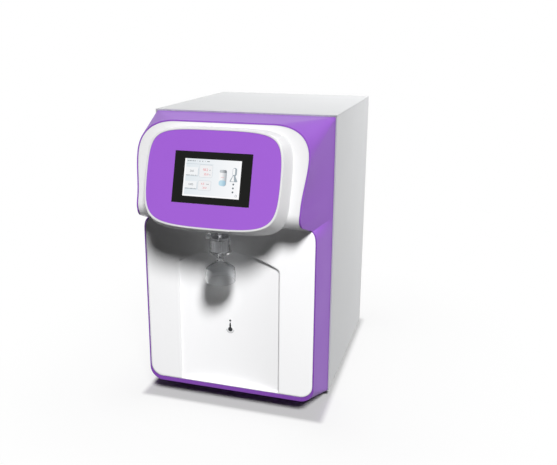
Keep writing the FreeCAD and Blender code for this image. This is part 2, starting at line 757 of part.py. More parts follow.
def pod_hollow():
    """Inside of the pod, down to the floor that its neck grows from."""
    floor_grow = POD_RIM + POD_FLARE * (1 - POD_WALL / POD_LIFT)
    rings = [pod_outline(POD_RIM - POD_WALL, POD_LIFT - POD_WALL),
             pod_outline(floor_grow - POD_WALL, POD_WALL, base=True)]
    return Part.makeLoft(rings, True, True)


def pod_neck(grow, from_lift=0.0):
    """Straight neck of the pod, back to the plane of the lower panel."""
    back = on_head(0, 0, -HEAD_REACH * 2) - on_head(0, 0, from_lift)
    neck = Part.Face(pod_outline(grow, from_lift)).extrude(back)
    front = block((-CASE_W, CASE_W), (-CASE_D, -LOWER_REACH - SOFT_GAP), (-CASE_H, CASE_H * 2))
    return neck.common(front)


def display_pod():
    outside = joined(pod_body(), pod_neck(POD_NECK_GROW))
    inside = joined(pod_hollow(), pod_neck(POD_NECK_GROW - POD_WALL, POD_WALL * 1.5))
    pocket = Part.Face(pod_outline(0.0, POD_LIFT)).extrude(
        on_head(0, 0, -OVERLAY_T - OVERLAY_SINK) - on_head(0, 0, 0))
    window = head_bar(PANEL_W + 1, PANEL_H + 1, POD_LIFT - POD_WALL * 2, POD_LIFT + 1)
    boss = rod(V(0, OUTLET_Y, OUTLET_SEAT - BOSS_H), Z, FITTING_R + 2, BOSS_H).common(outside)
    shell = joined(cut_by(outside, inside), boss)
    bore = rod(V(0, OUTLET_Y, 0), Z, STEM_R + SOFT_GAP, OUTLET_SEAT + 1)
    return cut_by(shell, pocket, window, bore)


def head_bar(width, height, low_lift, high_lift, middle=SCREEN_MID, x=0.0):
    """Box on the tilted face: width across, height along it, between two lifts."""
    corners = [on_head(x - width / 2, middle - height / 2, low_lift),
               on_head(x + width / 2, middle - height / 2, low_lift),
               on_head(x + width / 2, middle + height / 2, low_lift),
               on_head(x - width / 2, middle + height / 2, low_lift)]
    outward = on_head(0, 0, high_lift) - on_head(0, 0, low_lift)
    return Part.Face(Part.makePolygon(corners + corners[:1])).extrude(outward)


def head_surround():
    inside = front_block(-FRONT_GAP, -FRONT_GAP, LIP + FRONT_GAP)
    front = block((-CASE_W, CASE_W), (-CASE_D, -LOWER_REACH + FRONT_SKIN), (-CASE_H, CASE_H * 2))
    body = inside.common(head_core(0.0)).common(front)
    return cut_by(body, head_core(FRONT_SKIN), pod_neck(POD_NECK_GROW + POD_NECK_GAP, POD_NECK_GAP))


def recess_prism(grow, y):
    """Prism of the recess outline between two depths."""
    half = RECESS_HALF_W + grow
    low = LOWER_BOTTOM + RECESS_SILL - grow
    radius = RECESS_ARCH + grow
    centre = RECESS_TOP - RECESS_ARCH
    shoulder_x = half - RECESS_CORNER * 0.75
    shoulder_z = centre + sqrt(radius ** 2 - shoulder_x ** 2)
    side_z = shoulder_z - RECESS_CORNER

    def at(x, z):
        return V(x, y[0], z)
    half_edges = [
        line(at(0, low), at(half, low)),
        line(at(half, low), at(half, side_z)),
        curve(at(half, side_z), at(half, side_z + RECESS_CORNER * 0.5),
              at(shoulder_x + RECESS_CORNER * 0.4, shoulder_z - RECESS_CORNER * 0.22),
              at(shoulder_x, shoulder_z)),
        Part.Arc(at(shoulder_x, shoulder_z),
                 at(shoulder_x / 2, centre + sqrt(radius ** 2 - shoulder_x ** 2 / 4)),
                 at(0, centre + radius)).toShape(),
    ]
    outline = Part.Wire(Part.__sortEdges__(half_edges + [mirrored(e) for e in half_edges]))
    return Part.Face(outline).extrude(Y * (y[1] - y[0]))


def recess_floor(skin):
    """Upright cylinder whose far side is the hollow floor of the recess."""
    sag = RECESS_DEPTH - RECESS_STEP
    radius = (RECESS_HALF_W ** 2 + sag ** 2) / (2 * sag)
    return rod(V(0, -LOWER_REACH + RECESS_DEPTH - radius, 0), Z, radius + skin, CASE_H)


def lower_panel():
    inside = front_block(-FRONT_GAP, -FRONT_GAP, LIP + FRONT_GAP)
    plate = inside.common(block((-HALF_W, HALF_W), (-LOWER_REACH, -LOWER_REACH + FRONT_SKIN), (0, CASE_H)))
    plate = cut_by(plate, head_core(-FRONT_GAP))
    deep = -LOWER_REACH + RECESS_DEPTH + FRONT_SKIN * 2
    pan = recess_prism(FRONT_SKIN, (-LOWER_REACH, deep)).common(recess_floor(FRONT_SKIN))
    hollow = recess_prism(0.0, (-LOWER_REACH - 1, deep)).common(recess_floor(0.0))
    return cut_by(joined(plate, pan.common(inside)), hollow)


def pod_overlay():
    top = POD_LIFT - OVERLAY_SINK
    plate = Part.Face(pod_outline(-FRONT_GAP, top)).extrude(on_head(0, 0, -OVERLAY_T) - on_head(0, 0, 0))
    return cut_by(plate, head_bar(SCREEN_W + 0.4, SCREEN_H + 0.4, POD_LIFT - 6, POD_LIFT + 6))


def screen_frame():
    """Black frame round the display, with a sloped inner edge."""
    low = POD_LIFT - OVERLAY_SINK - OVERLAY_T
    top = low + SCREEN_FRAME_T
    plate = head_bar(SCREEN_W, SCREEN_H, low, top)
    step = VIEW_SINK

    def ring(grow, lift):
        corners = [on_head(sx * (VIEW_W / 2 + grow), SCREEN_MID + ss * (VIEW_H / 2 + grow), lift)
                   for sx, ss in ((-1, -1), (1, -1), (1, 1), (-1, 1))]
        return Part.makePolygon(corners + corners[:1])
    slope = Part.makeLoft([ring(0.0, top - step), ring(step, top + 0.001)], True, True)
    return cut_by(plate, slope, head_bar(VIEW_W, VIEW_H, low - 1, top))


def display_panel():
    low = POD_LIFT - OVERLAY_SINK - OVERLAY_T
    glass = head_bar(VIEW_W - 0.2, VIEW_H - 0.2, low - 1, low + SCREEN_FRAME_T - VIEW_SINK)
    return joined(glass, head_bar(PANEL_W, PANEL_H, low - PANEL_T, low))


def display_board():
    front = POD_LIFT - OVERLAY_SINK - OVERLAY_T - PANEL_T
    face = front - BOARD_OFF
    back = face - BOARD_T
    board = head_bar(PANEL_W + BOARD_OVER_W, PANEL_H + BOARD_OVER_H, back, face)
    far_x = PANEL_W / 2 - BOARD_POST_IN
    far_s = PANEL_H / 2 - BOARD_POST_IN
    posts = [head_bar(BOARD_POST, BOARD_POST, face, front, SCREEN_MID + ds, x)
             for x in (-far_x, far_x) for ds in (-far_s, far_s)]
    parts = [head_bar(w, h, back - t, back, SCREEN_MID + ds, x) for w, h, t, x, ds in BOARD_PARTS]
    return joined(board, *posts, *parts)


# ---- outlet and filter ----

def outlet_fitting():
    low, high = OUTLET_SEAT, OUTLET_SEAT + FITTING_H
    stop = STEM_TOP + SOFT_GAP
    return turned([(STEM_R + RUN_GAP, low), (FITTING_R, low), (FITTING_R, low + FITTING_H * 0.7),
                   (FITTING_R * 0.7, high), (TUBE_BORE, high), (TUBE_BORE, stop),
                   (STEM_R + RUN_GAP, stop)], V(0, OUTLET_Y, 0))


def filter_cap():
    """Lid with the stem, a shallow plug into the grip and a boss for the vent."""
    lid = turned([(STEM_BORE, CAP_LOW - CAP_PLUG), (GRIP_BORE - SOFT_GAP, CAP_LOW - CAP_PLUG),
                  (GRIP_BORE - SOFT_GAP, CAP_LOW), (CAP_R, CAP_LOW), (CAP_R, CAP_SIDE),
                  (CAP_R - 1, CAP_SIDE + 0.8), (STEM_R + 2.5, CAP_TOP - 0.6), (STEM_R, CAP_TOP),
                  (STEM_R, STEM_TOP), (STEM_BORE, STEM_TOP)], V(0, OUTLET_Y, 0))
    out = V(-1, 0, 0)
    start = V(-CAP_R + VENT_BOSS, OUTLET_Y, VENT_Z)
    boss = rod(start, out, VENT_STEM_R + 1, VENT_X - CAP_R + VENT_BOSS - SOFT_GAP)
    hole = rod(start + out, out, VENT_STEM_R + RUN_GAP, VENT_X)
    return cut_by(joined(lid, boss), hole)


def filter_grip():
    body = sleeve(V(0, OUTLET_Y, GRIP_LOW), Z, GRIP_R, GRIP_BORE, CAP_LOW - GRIP_LOW)
    ribs = [rod(V(GRIP_R * cos(k * 2 * pi / GRIP_RIBS), OUTLET_Y + GRIP_R * sin(k * 2 * pi / GRIP_RIBS),
                  GRIP_LOW + 3), Z, RIB_R, CAP_LOW - GRIP_LOW - 4) for k in range(GRIP_RIBS)]
    return joined(body, *ribs)


def filter_membrane():
    """Pleated membrane pack, open in its middle."""
    outer = GRIP_BORE - PLEAT_CLEAR
    inner = outer - PLEAT_DEEP
    low, high = GRIP_LOW + SOFT_GAP, CAP_LOW - CAP_PLUG - SOFT_GAP
    star = []
    for k in range(PLEATS * 2):
        r = outer if k % 2 else inner
        star.append(V(r * cos(k * pi / PLEATS), OUTLET_Y + r * sin(k * pi / PLEATS), low))
    pack = Part.Face(Part.makePolygon(star + star[:1])).extrude(Z * (high - low))
    return cut_by(pack, rod(V(0, OUTLET_Y, 0), Z, inner - PLEAT_BAND, CASE_H))


def filter_bell():
    """Flange, neck and bell in one clear moulding."""
    t = CLEAR_WALL
    haunch = BELL_SHOULDER_R * 0.72
    outside = [(FLANGE_R, GRIP_LOW), (FLANGE_R, GRIP_LOW - FLANGE_T),
               (FLANGE_R - FLANGE_CONE, GRIP_LOW - FLANGE_CONE),
               (NECK_R, NECK_TOP), (NECK_R, NECK_LOW), (haunch, BELL_SHOULDER_Z + 5.4),
               (BELL_SHOULDER_R, BELL_SHOULDER_Z), (BELL_R, BELL_WIDE_Z), (BELL_MOUTH_R, BELL_LOW)]
    inside = [(BELL_MOUTH_R - t, BELL_LOW), (BELL_R - t, BELL_WIDE_Z),
              (BELL_SHOULDER_R - t, BELL_SHOULDER_Z - 0.4), (haunch - t, BELL_SHOULDER_Z + 4.4),
              (STEM_BORE + t, NECK_LOW - 2.2), (STEM_BORE, NECK_LOW), (STEM_BORE, GRIP_LOW)]
    body = turned(outside + inside, V(0, OUTLET_Y, 0))
    lugs = [rod(V(0, OUTLET_Y, GRIP_LOW - FLANGE_T), V(cos(a), sin(a), 0), FLANGE_T * 0.9, FLANGE_R + 0.4)
            for a in (0, pi / 2, pi, 3 * pi / 2)]
    bore = rod(V(0, OUTLET_Y, GRIP_LOW - FLANGE_T * 2), Z, STEM_BORE, FLANGE_T * 2)
    return cut_by(joined(body, *lugs), bore)


def vent_knob():
    start = V(-VENT_X, OUTLET_Y, VENT_Z)
    out = V(-1, 0, 0)
    grip = turned([(0, 0), (VENT_R - 0.6, 0), (VENT_R, 0.8), (VENT_R, VENT_LEN - 1),
                   (VENT_R - 1, VENT_LEN), (0, VENT_LEN)], start, out)
    step = 2 * pi / VENT_FLUTES
    flutes = [rod(start + V(0, VENT_R * cos(k * step), VENT_R * sin(k * step)), out, RIB_R, VENT_LEN)
              for k in range(VENT_FLUTES)]
    inside = VENT_OUT + VENT_BOSS - CLEAR_WALL
    screw = rod(start - out * inside, out, VENT_STEM_R, inside + 1)
    return joined(cut_by(grip, *flutes), screw)


# ---- case ----

def base_tray():
    plate = block((-HALF_W, HALF_W), (0, CASE_D), (0, BASE_SHEET))
    up = BASE_SHEET + TRAY_WALL
    back = BACK_INNER - SOFT_GAP
    left = -HALF_W + SHEET + SOFT_GAP
    right = HALF_W - LIP - LIP_STOP
    walls = [block((left + LIP, right), (back - BASE_SHEET, back), (0, up)),
             block((left, left + BASE_SHEET), (LIP, back - LIP), (0, up)),
             block((right, right + BASE_SHEET), (LIP * 2, back - LIP), (0, up))]
    notch = rounded_bar((HALF_W - LIP, HALF_W + LIP), (PULL_FROM, PULL_TO), (-LIP, LIP), PULL_ROUND, Z)
    holes = [rod(V(x, y, -BASE_SHEET), Z, FOOT_HOLE_R, BASE_SHEET * 3) for x, y in foot_places()]
    return cut_by(joined(plate, *walls), notch, *holes)


def foot_places():
    return [(sx * (HALF_W - FOOT_INSET), y) for sx in (-1, 1) for y in (FOOT_INSET, CASE_D - FOOT_INSET)]


def rubber_feet():
    r = FOOT_D / 2 - FOOT_DRAFT
    sink = FOOT_SINK - FOOT_H
    profile = [(FOOT_HOLE_R, 0), (FOOT_D / 2, 0), (r, FOOT_EDGE - FOOT_H), (r - FOOT_EDGE, -FOOT_H),
               (FOOT_SINK_R, -FOOT_H), (FOOT_SINK_R, sink), (FOOT_HOLE_R, sink)]
    return group(turned(profile, V(x, y, 0)) for x, y in foot_places())


def foot_screws():
    """Screw up through each foot and the tray, with its hexagon nut."""
    seat = FOOT_SINK - FOOT_H
    shank = [(0, seat), (FOOT_SCREW_R, seat), (FOOT_SCREW_R, BASE_SHEET + FOOT_SCREW_OVER),
             (0, BASE_SHEET + FOOT_SCREW_OVER)]
    head = [(0, seat - FOOT_HEAD_T), (FOOT_HEAD_R, seat - FOOT_HEAD_T), (FOOT_HEAD_R, seat), (0, seat)]
    screws = []
    for x, y in foot_places():
        nut = cut_by(prism_hex(V(x, y, BASE_SHEET), Z, FOOT_NUT, FOOT_NUT_T),
                     rod(V(x, y, 0), Z, FOOT_SCREW_R, BASE_SHEET + FOOT_NUT_T))
        screws.append(joined(turned(shank, V(x, y, 0)), turned(head, V(x, y, 0)), nut))
    return group(screws)


def top_cover():
    low = CASE_H - SHEET
    plate = block((-HALF_W, HALF_W), (0, CASE_D), (low, CASE_H))
    edges = [e for e in plate.Edges if abs(e.CenterOfMass.z - CASE_H) < 0.01]
    plate = plate.makeFillet(COVER_ROUND, edges)
    back = BACK_INNER - SOFT_GAP
    left = -HALF_W + SHEET + SOFT_GAP
    right = HALF_W - LIP - LIP_STOP
    lips = [block((left + LIP, right), (back - SHEET, back), (low - LIP, low)),
            block((left, left + SHEET), (LIP, back - LIP), (low - LIP, low)),
            block((right, right + SHEET), (LIP * 2, back - LIP), (low - LIP, low)),
            block((left + LIP, right), (SHEET + SOFT_GAP, SHEET * 2 + SOFT_GAP), (low - LIP, low))]
    return joined(plate, *lips)


def left_panel():
    low, high = BASE_SHEET, CASE_H - SHEET
    skin = block((-HALF_W, -HALF_W + SHEET), (0, CASE_D), (low, high))
    lips = [block((-HALF_W, -HALF_W + LIP), (0, SHEET), (low, high)),
            block((-HALF_W, -HALF_W + LIP), (CASE_D - SHEET, CASE_D), (low, high))]
    return joined(skin, *lips)


def front_frame():
    """Sheet bulkhead that closes the case behind the bezel and stiffens its front."""
    low, high = BASE_SHEET, CASE_H - SHEET
    half = HALF_W - LIP - SOFT_GAP
    plate = block((-half, half), (0, SHEET), (low, high))
    flange = [block((half - SHEET, half), (0, FLANGE_D), (low, high - LIP)),
              block((-half, -half + SHEET), (0, FLANGE_D), (low + FLANGE_FOOT, high - LIP - FLANGE_HEAD)),
              block((-half + LIP, half - LIP), (0, LIP), (low, low + SHEET))]

    def window(side, foot, head):
        return rounded_bar((side - half, half - side), (-SHEET, SHEET * 2), (foot, head), WINDOW_ROUND)
    high_window = window(HIGH_WINDOW_SIDE, CASE_H - HIGH_WINDOW_FOOT, CASE_H - HIGH_WINDOW_HEAD)
    low_window = window(LOW_WINDOW_SIDE, LOW_WINDOW_FOOT, CASE_H - LOW_WINDOW_HEAD)
    screws = [rod(V(x, -SHEET, z), Y, SCREW_HOLE_R, SHEET * 3) for x, z in bezel_screw_places()]
    return cut_by(joined(plate, *flange), high_window, low_window, *screws)


def rear_panel():
    """Rear sheet with louvres, cuts for the fittings and a jamb beside the door's hinge."""
    low, high = BASE_SHEET, CASE_H - SHEET
    left = -HALF_W + LIP + SOFT_GAP
    right = PIVOT_X - sqrt(PIVOT_IN_X ** 2 + PIVOT_IN_Y ** 2) - SEAM
    through = (BACK_INNER - SHEET, CASE_D + SHEET)

    def hole(x, z, radius):
        return rod(V(x, through[0], z), Y, radius, through[1] - through[0])

    def cut(x, z, width, height):
        return block((x - width / 2, x + width / 2), through, (z - height / 2, z + height / 2))
    plate = block((left, right), (BACK_INNER, CASE_D), (low, high))
    rise = (low + JAMB_FOOT, high - LIP - LIP_STOP)
    jamb = block((right - SHEET, right), (BACK_INNER - LIP, CASE_D), rise)
    tools = [hole(x, PORT_Z, PORT_HOLE_R) for x in PORT_X]
    tools += [hole(x, z, SCREW_HOLE_R) for x, z in case_screw_places()]
    tools.append(cut(INLET_X, INLET_Z, INLET_W - CUT_UNDER * 2, INLET_H - CUT_UNDER * 2))
    tools.append(cut(SWITCH_X, SWITCH_Z, SWITCH_W - FLANGE_OVER * 2, SWITCH_H - FLANGE_OVER * 2))
    for x in (-LOUVRE_X, LOUVRE_X):
        for row in range(LOUVRE_ROWS):
            z = LOUVRE_TOP - row * LOUVRE_PITCH
            tools.append(rounded_bar((x - LOUVRE_W / 2, x + LOUVRE_W / 2), through, (z, z + LOUVRE_H),
                                     LOUVRE_H * 0.45))
    return cut_by(joined(plate, jamb), *tools)


def case_screw_places():
    return [(x, z) for x in (CASE_SCREW_LEFT - HALF_W, 0, HALF_W - CASE_SCREW_RIGHT)
            for z in (CASE_SCREW_LOW, CASE_H - CASE_SCREW_TOP)]


def pan_screw(seat):
    """Pan head screw facing back, with its shank forward of the seat."""
    head = turned([(0, 0), (SCREW_HEAD_R, 0), (SCREW_HEAD_R - 0.5, SCREW_HEAD_T - 0.2), (0, SCREW_HEAD_T)],
                  seat, Y)
    return joined(head, rod(seat, V(0, -1, 0), SCREW_R, SCREW_LEN))


def pan_screws():
    seats = [V(x, CASE_D, z) for x, z in case_screw_places()]
    seats += [V(x, SHEET, z) for x, z in bezel_screw_places()]
    return group(pan_screw(seat) for seat in seats)


def screw_clearance(shape):
    """Holes of the rear case screws in a piece behind the rear panel."""
    reach = SCREW_LEN + SCREW_HEAD_T
    return cut_by(shape, *[rod(V(x, CASE_D - reach, z), Y, SCREW_HOLE_R, reach)
                           for x, z in case_screw_places()])


def service_door():
    """Folded door pan with a hat stiffener, bored for its two pins at the rear edge."""
    low, high = BASE_SHEET + SEAM, CASE_H - SHEET - SEAM
    skin = block((HALF_W - SHEET, HALF_W), (SEAM, CASE_D), (low, high))
    inner = HALF_W - LIP
    lips = [block((inner, HALF_W), (SEAM, SEAM + SHEET), (low, high)),
            block((HALF_W - REAR_LIP, HALF_W), (BACK_INNER, CASE_D), (low, high)),
            block((inner, HALF_W), (SEAM, BACK_INNER), (low, low + SHEET)),
            block((inner, HALF_W), (SEAM, BACK_INNER), (high - SHEET, high))]
    face = HALF_W - SHEET
    middle, half = CASE_D / 2, STIFFENER_W / 2
    rise = (low + STIFFENER_END, high - STIFFENER_END)
    hat = block((face - STIFFENER_D, face), (middle - half, middle + half), rise)
    hat = cut_by(hat, block((face - STIFFENER_D + SHEET, HALF_W),
                            (middle - half + SHEET, middle + half - SHEET), (0, CASE_H)))
    corner = block((inner - LIP, HALF_W - REAR_LIP_CUT), (CASE_D - REAR_LIP_FROM, CASE_D + LIP), (0, CASE_H))
    pull = block((inner - LIP, face), (PULL_FROM, PULL_TO), (low - SHEET, low + SHEET * 2))
    pins = rod(V(PIVOT_X, PIVOT_Y, 0), Z, PIVOT_R + RUN_GAP, CASE_H)
    return cut_by(joined(skin, *lips, hat), pins, pull, corner)


def hinge_pins():
    foot = rod(V(PIVOT_X, PIVOT_Y, BASE_SHEET), Z, PIVOT_R, PIVOT_H)
    washer = rod(V(PIVOT_X, PIVOT_Y, BASE_SHEET), Z, PIVOT_R + 2, SEAM - 0.1)
    top = rod(V(PIVOT_X, PIVOT_Y, CASE_H - SHEET), V(0, 0, -1), PIVOT_R, PIVOT_H)
    return group([joined(foot, washer), top])


def magnet_catches():
    x = (HALF_W - LIP - SOFT_GAP, HALF_W - SHEET - SOFT_GAP)
    front = SEAM + SHEET + MAGNET_IN
    half = MAGNET_H / 2
    return group(rounded_bar(x, (front, front + MAGNET_W), (z - half, z + half), MAGNET_ROUND, X)
                 for z in (MAGNET_END, CASE_H / 2, CASE_H - MAGNET_END))


# ---- cartridges ----

def cart_y(place):
    return CART_FRONT + CART_R + (CART_R * 2 + CART_GAP) * place


def cartridge_bracket():
    """Folded sheet that carries the cartridge heads on one side and the main board on the other."""
    along = (BRACKET_END, CASE_D - BRACKET_END)
    sheet = (BRACKET_X, BRACKET_X + SHEET)
    shelf_z = CART_TOP + HEAD_BLOCK_H + SOFT_GAP
    wall = block(sheet, along, (BASE_SHEET, BRACKET_TOP))
    foot = block((BRACKET_X, BRACKET_X + LIP), along, (BASE_SHEET, BASE_SHEET + SHEET))
    top = block((BRACKET_X - LIP, BRACKET_X + SHEET), along, (BRACKET_TOP - SHEET, BRACKET_TOP))
    shelf = block((BRACKET_X, CART_X + HEAD_W / 2), along, (shelf_z, shelf_z + SHEET))
    holes = [rod(V(CART_X + side, cart_y(k), CART_TOP), Z, PORT_STUB_R + 1, HEAD_BLOCK_H * 2)
             for k in range(3) for side in (-PORT_SPREAD, PORT_SPREAD)]
    first = along[0] + WIRE_HOLE_FRONT
    last = along[1] - WIRE_HOLE_BACK - WIRE_HOLE_W
    holes += [rounded_bar((BRACKET_X - SHEET, BRACKET_X + SHEET * 2), (y, y + WIRE_HOLE_W),
                          (WIRE_HOLE_LOW, WIRE_HOLE_LOW + WIRE_HOLE_H), WIRE_HOLE_ROUND, X)
              for y in (first, last)]
    return cut_by(joined(wall, foot, top, shelf), *holes)


def cartridge_head(place):
    """Head block over a ribbed collar that the cartridge's neck twists into, with two stubs."""
    y = cart_y(place)
    half = HEAD_W / 2
    bore = CART_NECK_R + SOFT_GAP
    body = rounded_bar((CART_X - half, CART_X + half), (y - half, y + half),
                       (CART_TOP + COLLAR_FLOOR, CART_TOP + HEAD_BLOCK_H), HEAD_BLOCK_ROUND, Z)
    collar = turned([(0, COLLAR_FLOOR), (0, COLLAR_CROWN), (COLLAR_R, COLLAR_TOP), (COLLAR_R, -COLLAR_H),
                     (bore, -COLLAR_H), (bore, SOFT_GAP), (COLLAR_MOUTH_R, SOFT_GAP),
                     (COLLAR_MOUTH_R, COLLAR_FLOOR)], V(CART_X, y, CART_TOP))
    ribs = [block((-1, 1), (0, COLLAR_R + COLLAR_RIB_DEEP), (-COLLAR_H, COLLAR_RIB_TOP))
            for _ in range(COLLAR_RIBS)]
    for k, rib in enumerate(ribs):
        rib.translate(V(CART_X, y, CART_TOP))
        rib.rotate(V(CART_X, y, 0), Z, (k + 0.5) * 360 / COLLAR_RIBS)
    core = rod(V(CART_X, y, CART_TOP - COLLAR_H - 1), Z, bore, COLLAR_H + 1 + SOFT_GAP)
    stubs = [sleeve(V(CART_X + side, y, CART_TOP + HEAD_BLOCK_H), Z, PORT_STUB_R, TUBE_BORE, PORT_STUB_H)
             for side in (-PORT_SPREAD, PORT_SPREAD)]
    return joined(cut_by(joined(body, collar, *ribs), core), *stubs)


def cartridge(place):
    """Twist-in cartridge: domed bottom with grip ribs, straight body, shoulder and neck."""
    y = cart_y(place)
    r = CART_R
    profile = [(0, CART_LOW), (r * 0.55, CART_LOW + 1), (r * 0.86, CART_LOW + CART_DOME * 0.4),
               (r, CART_LOW + CART_DOME), (r, CART_SHOULDER - CART_SLOPE_H),
               (r * 0.94, CART_SHOULDER - CART_SLOPE_MID),
               (CART_NECK_R, CART_SHOULDER), (CART_NECK_R, CART_TOP), (0, CART_TOP)]
    body = turned(profile, V(CART_X, y, 0))
    wing = rounded_bar((CART_X - r * 0.62, CART_X + r * 0.62), (y - CART_WING_T / 2, y + CART_WING_T / 2),
                       (CART_LOW - CART_WING_H, CART_LOW + CART_DOME * 0.4), 1.5, Y)
    out = r + CART_BAND
    bands = [turned([(r - 1, z), (out, z + 1), (out, z + 3), (r - 1, z + 4)], V(CART_X, y, 0))
             for z in (CART_LOW + CART_DOME + 8, CART_SHOULDER - CART_NECK_H)]
    return joined(body, wing, *bands)


# ---- pumps ----

def booster_pump():
    """Motor can with end bell and cooling ribs, lying along Y."""
    start = V(PUMP_X, PUMP_FROM, PUMP_Z)
    r, n = PUMP_R, PUMP_LEN
    can = turned([(0, 0), (r * 0.7, 0), (r, 6), (r, n - 8), (r - 3, n), (0, n)], start, Y)
    rib = PUMP_RIB
    ribs = [turned([(r - 1, d), (r + 0.9, d), (r + 0.9, d + rib), (r - 1, d + rib)], start, Y)
            for d in (rib * 8, rib * 11, n - rib * 13, n - rib * 10)]
    hub = rod(start + V(0, -5, 0), Y, PUMP_HUB_R, 6)
    return joined(can, hub, *ribs)


def pump_head():
    """Diaphragm head with a waist, two stubs and the four nuts of its through bolts."""
    y = PUMP_FROM + PUMP_LEN
    half = PUMP_HEAD / 2
    bolt = half * 0.72
    body = rounded_bar((PUMP_X - half, PUMP_X + half), (y, y + PUMP_HEAD_LEN),
                       (PUMP_Z - half, PUMP_Z + half), PUMP_HEAD_ROUND)
    waist = sleeve(V(PUMP_X, y + PUMP_HEAD_LEN * 0.45, PUMP_Z), Y, PUMP_HEAD, PUMP_HEAD * 0.63, 3)
    stubs = [sleeve(V(PUMP_X + side, y + PUMP_HEAD_LEN / 2, PUMP_Z + half - 1), Z, PORT_STUB_R, TUBE_BORE,
                    PORT_STUB_H + 1) for side in (-PORT_SPREAD, PORT_SPREAD)]
    nuts = [prism_hex(V(PUMP_X + x, y + PUMP_HEAD_LEN, PUMP_Z + z), Y, PUMP_BOLT, PUMP_BOLT_T)
            for x in (-bolt, bolt) for z in (-bolt, bolt)]
    return joined(cut_by(body, waist), *stubs, *nuts)


def pump_cradle():
    """Bent plate under the pump, with two saddles."""
    low = BASE_SHEET + MOUNT_H
    plate = block((PUMP_X - CRADLE_HALF_W, PUMP_X + CRADLE_HALF_W),
                  (PUMP_FROM + CRADLE_END, PUMP_FROM + PUMP_LEN - CRADLE_END), (low, low + CRADLE_T))
    can = rod(V(PUMP_X, PUMP_FROM, PUMP_Z), Y, PUMP_R + SOFT_GAP, PUMP_LEN)
    saddles = [cut_by(block((PUMP_X - SADDLE_HALF_W, PUMP_X + SADDLE_HALF_W), (y, y + SADDLE_T),
                            (low, PUMP_Z - SADDLE_DOWN)), can)
               for y in (PUMP_FROM + SADDLE_FRONT, PUMP_FROM + PUMP_LEN - SADDLE_BACK - SADDLE_T)]
    return joined(plate, *saddles)


def pump_mounts():
    profile = [(0, 0), (MOUNT_R, 0), (MOUNT_R - MOUNT_WAIST, MOUNT_H / 2), (MOUNT_R, MOUNT_H), (0, MOUNT_H)]
    return group(turned(profile, V(PUMP_X + sx * MOUNT_SIDE, PUMP_FROM + y, BASE_SHEET))
                 for sx in (-1, 1) for y in (MOUNT_END, PUMP_LEN - MOUNT_END))


def circulation_pump():
    """Magnet-drive pump: can, square head with two stubs, and the foot it stands on."""
    back = CIRC_FROM + CIRC_LEN
    half = CIRC_HEAD / 2
    can = turned([(0, 0), (CIRC_R - 4, 0), (CIRC_R, 4), (CIRC_R, CIRC_LEN), (0, CIRC_LEN)],
                 V(CIRC_X, CIRC_FROM, CIRC_Z), Y)
    head = rounded_bar((CIRC_X - half, CIRC_X + half), (back, back + CIRC_HEAD_LEN),
                       (CIRC_Z - half, CIRC_Z + half), CIRC_HEAD_ROUND)
    foot = block((CIRC_X - CIRC_FOOT_HALF_W, CIRC_X + CIRC_FOOT_HALF_W),
                 (CIRC_FROM + CIRC_FOOT_FRONT, back - CIRC_FOOT_BACK), (BASE_SHEET, CIRC_Z - CIRC_R * 0.75))
    stubs = [sleeve(V(CIRC_X + side, back + CIRC_HEAD_LEN / 2, CIRC_Z + half - 1), Z, PORT_STUB_R, TUBE_BORE,
                    PORT_STUB_H) for side in (-CIRC_SPREAD, CIRC_SPREAD)]
    return joined(can, head, foot, *stubs)


# ---- lamp chamber ----

def lamp_chamber():
    return sleeve(V(LAMP_X, LAMP_Y, LAMP_LOW), Z, LAMP_R, LAMP_R - LAMP_WALL, LAMP_LEN)


def lamp_caps():
    """Screwed end caps, each with a plug into the chamber and a stub for its tube."""
    plug = LAMP_R - LAMP_WALL - SOFT_GAP
    profile = [(0, LAMP_CAP_PLUG), (plug, LAMP_CAP_PLUG), (plug, -SOFT_GAP), (LAMP_CAP_R, -SOFT_GAP),
               (LAMP_CAP_R, -LAMP_CAP_H + LAMP_CAP_EDGE), (LAMP_CAP_R - LAMP_CAP_EDGE, -LAMP_CAP_H),
               (0, -LAMP_CAP_H)]
    caps = []
    for z, way in ((LAMP_LOW, -1), (LAMP_LOW + LAMP_LEN, 1)):
        cap = turned(profile, V(0, 0, 0))
        if way > 0:
            cap = cap.mirror(V(0, 0, 0), Z)
        cap.translate(V(LAMP_X, LAMP_Y, z))
        stub = sleeve(V(LAMP_X, LAMP_Y, z + way * LAMP_CAP_H), V(0, 0, way), PORT_STUB_R, TUBE_BORE,
                      PORT_STUB_H)
        caps.append(joined(cap, stub))
    return group(caps)


def lamp_clips():
    """Spring clips round the chamber, on webs from the left panel."""
    clips = []
    wall = -HALF_W + SHEET
    for z in (LAMP_LOW + CLIP_LOW, LAMP_LOW + LAMP_LEN - CLIP_HIGH):
        ring = sleeve(V(LAMP_X, LAMP_Y, z), Z, LAMP_R + CLIP_T, LAMP_R + SOFT_GAP, CLIP_H)
        mouth = block((LAMP_X, LAMP_X + LAMP_R * 2), (LAMP_Y - CLIP_MOUTH / 2, LAMP_Y + CLIP_MOUTH / 2),
                      (z - 1, z + CLIP_H + 1))
        web = block((wall, LAMP_X - LAMP_R - 1), (LAMP_Y - CLIP_WEB / 2, LAMP_Y + CLIP_WEB / 2),
                    (z, z + CLIP_H))
        clips.append(cut_by(joined(ring, web), mouth))
    return group(clips)


# ---- valves, electrics ----

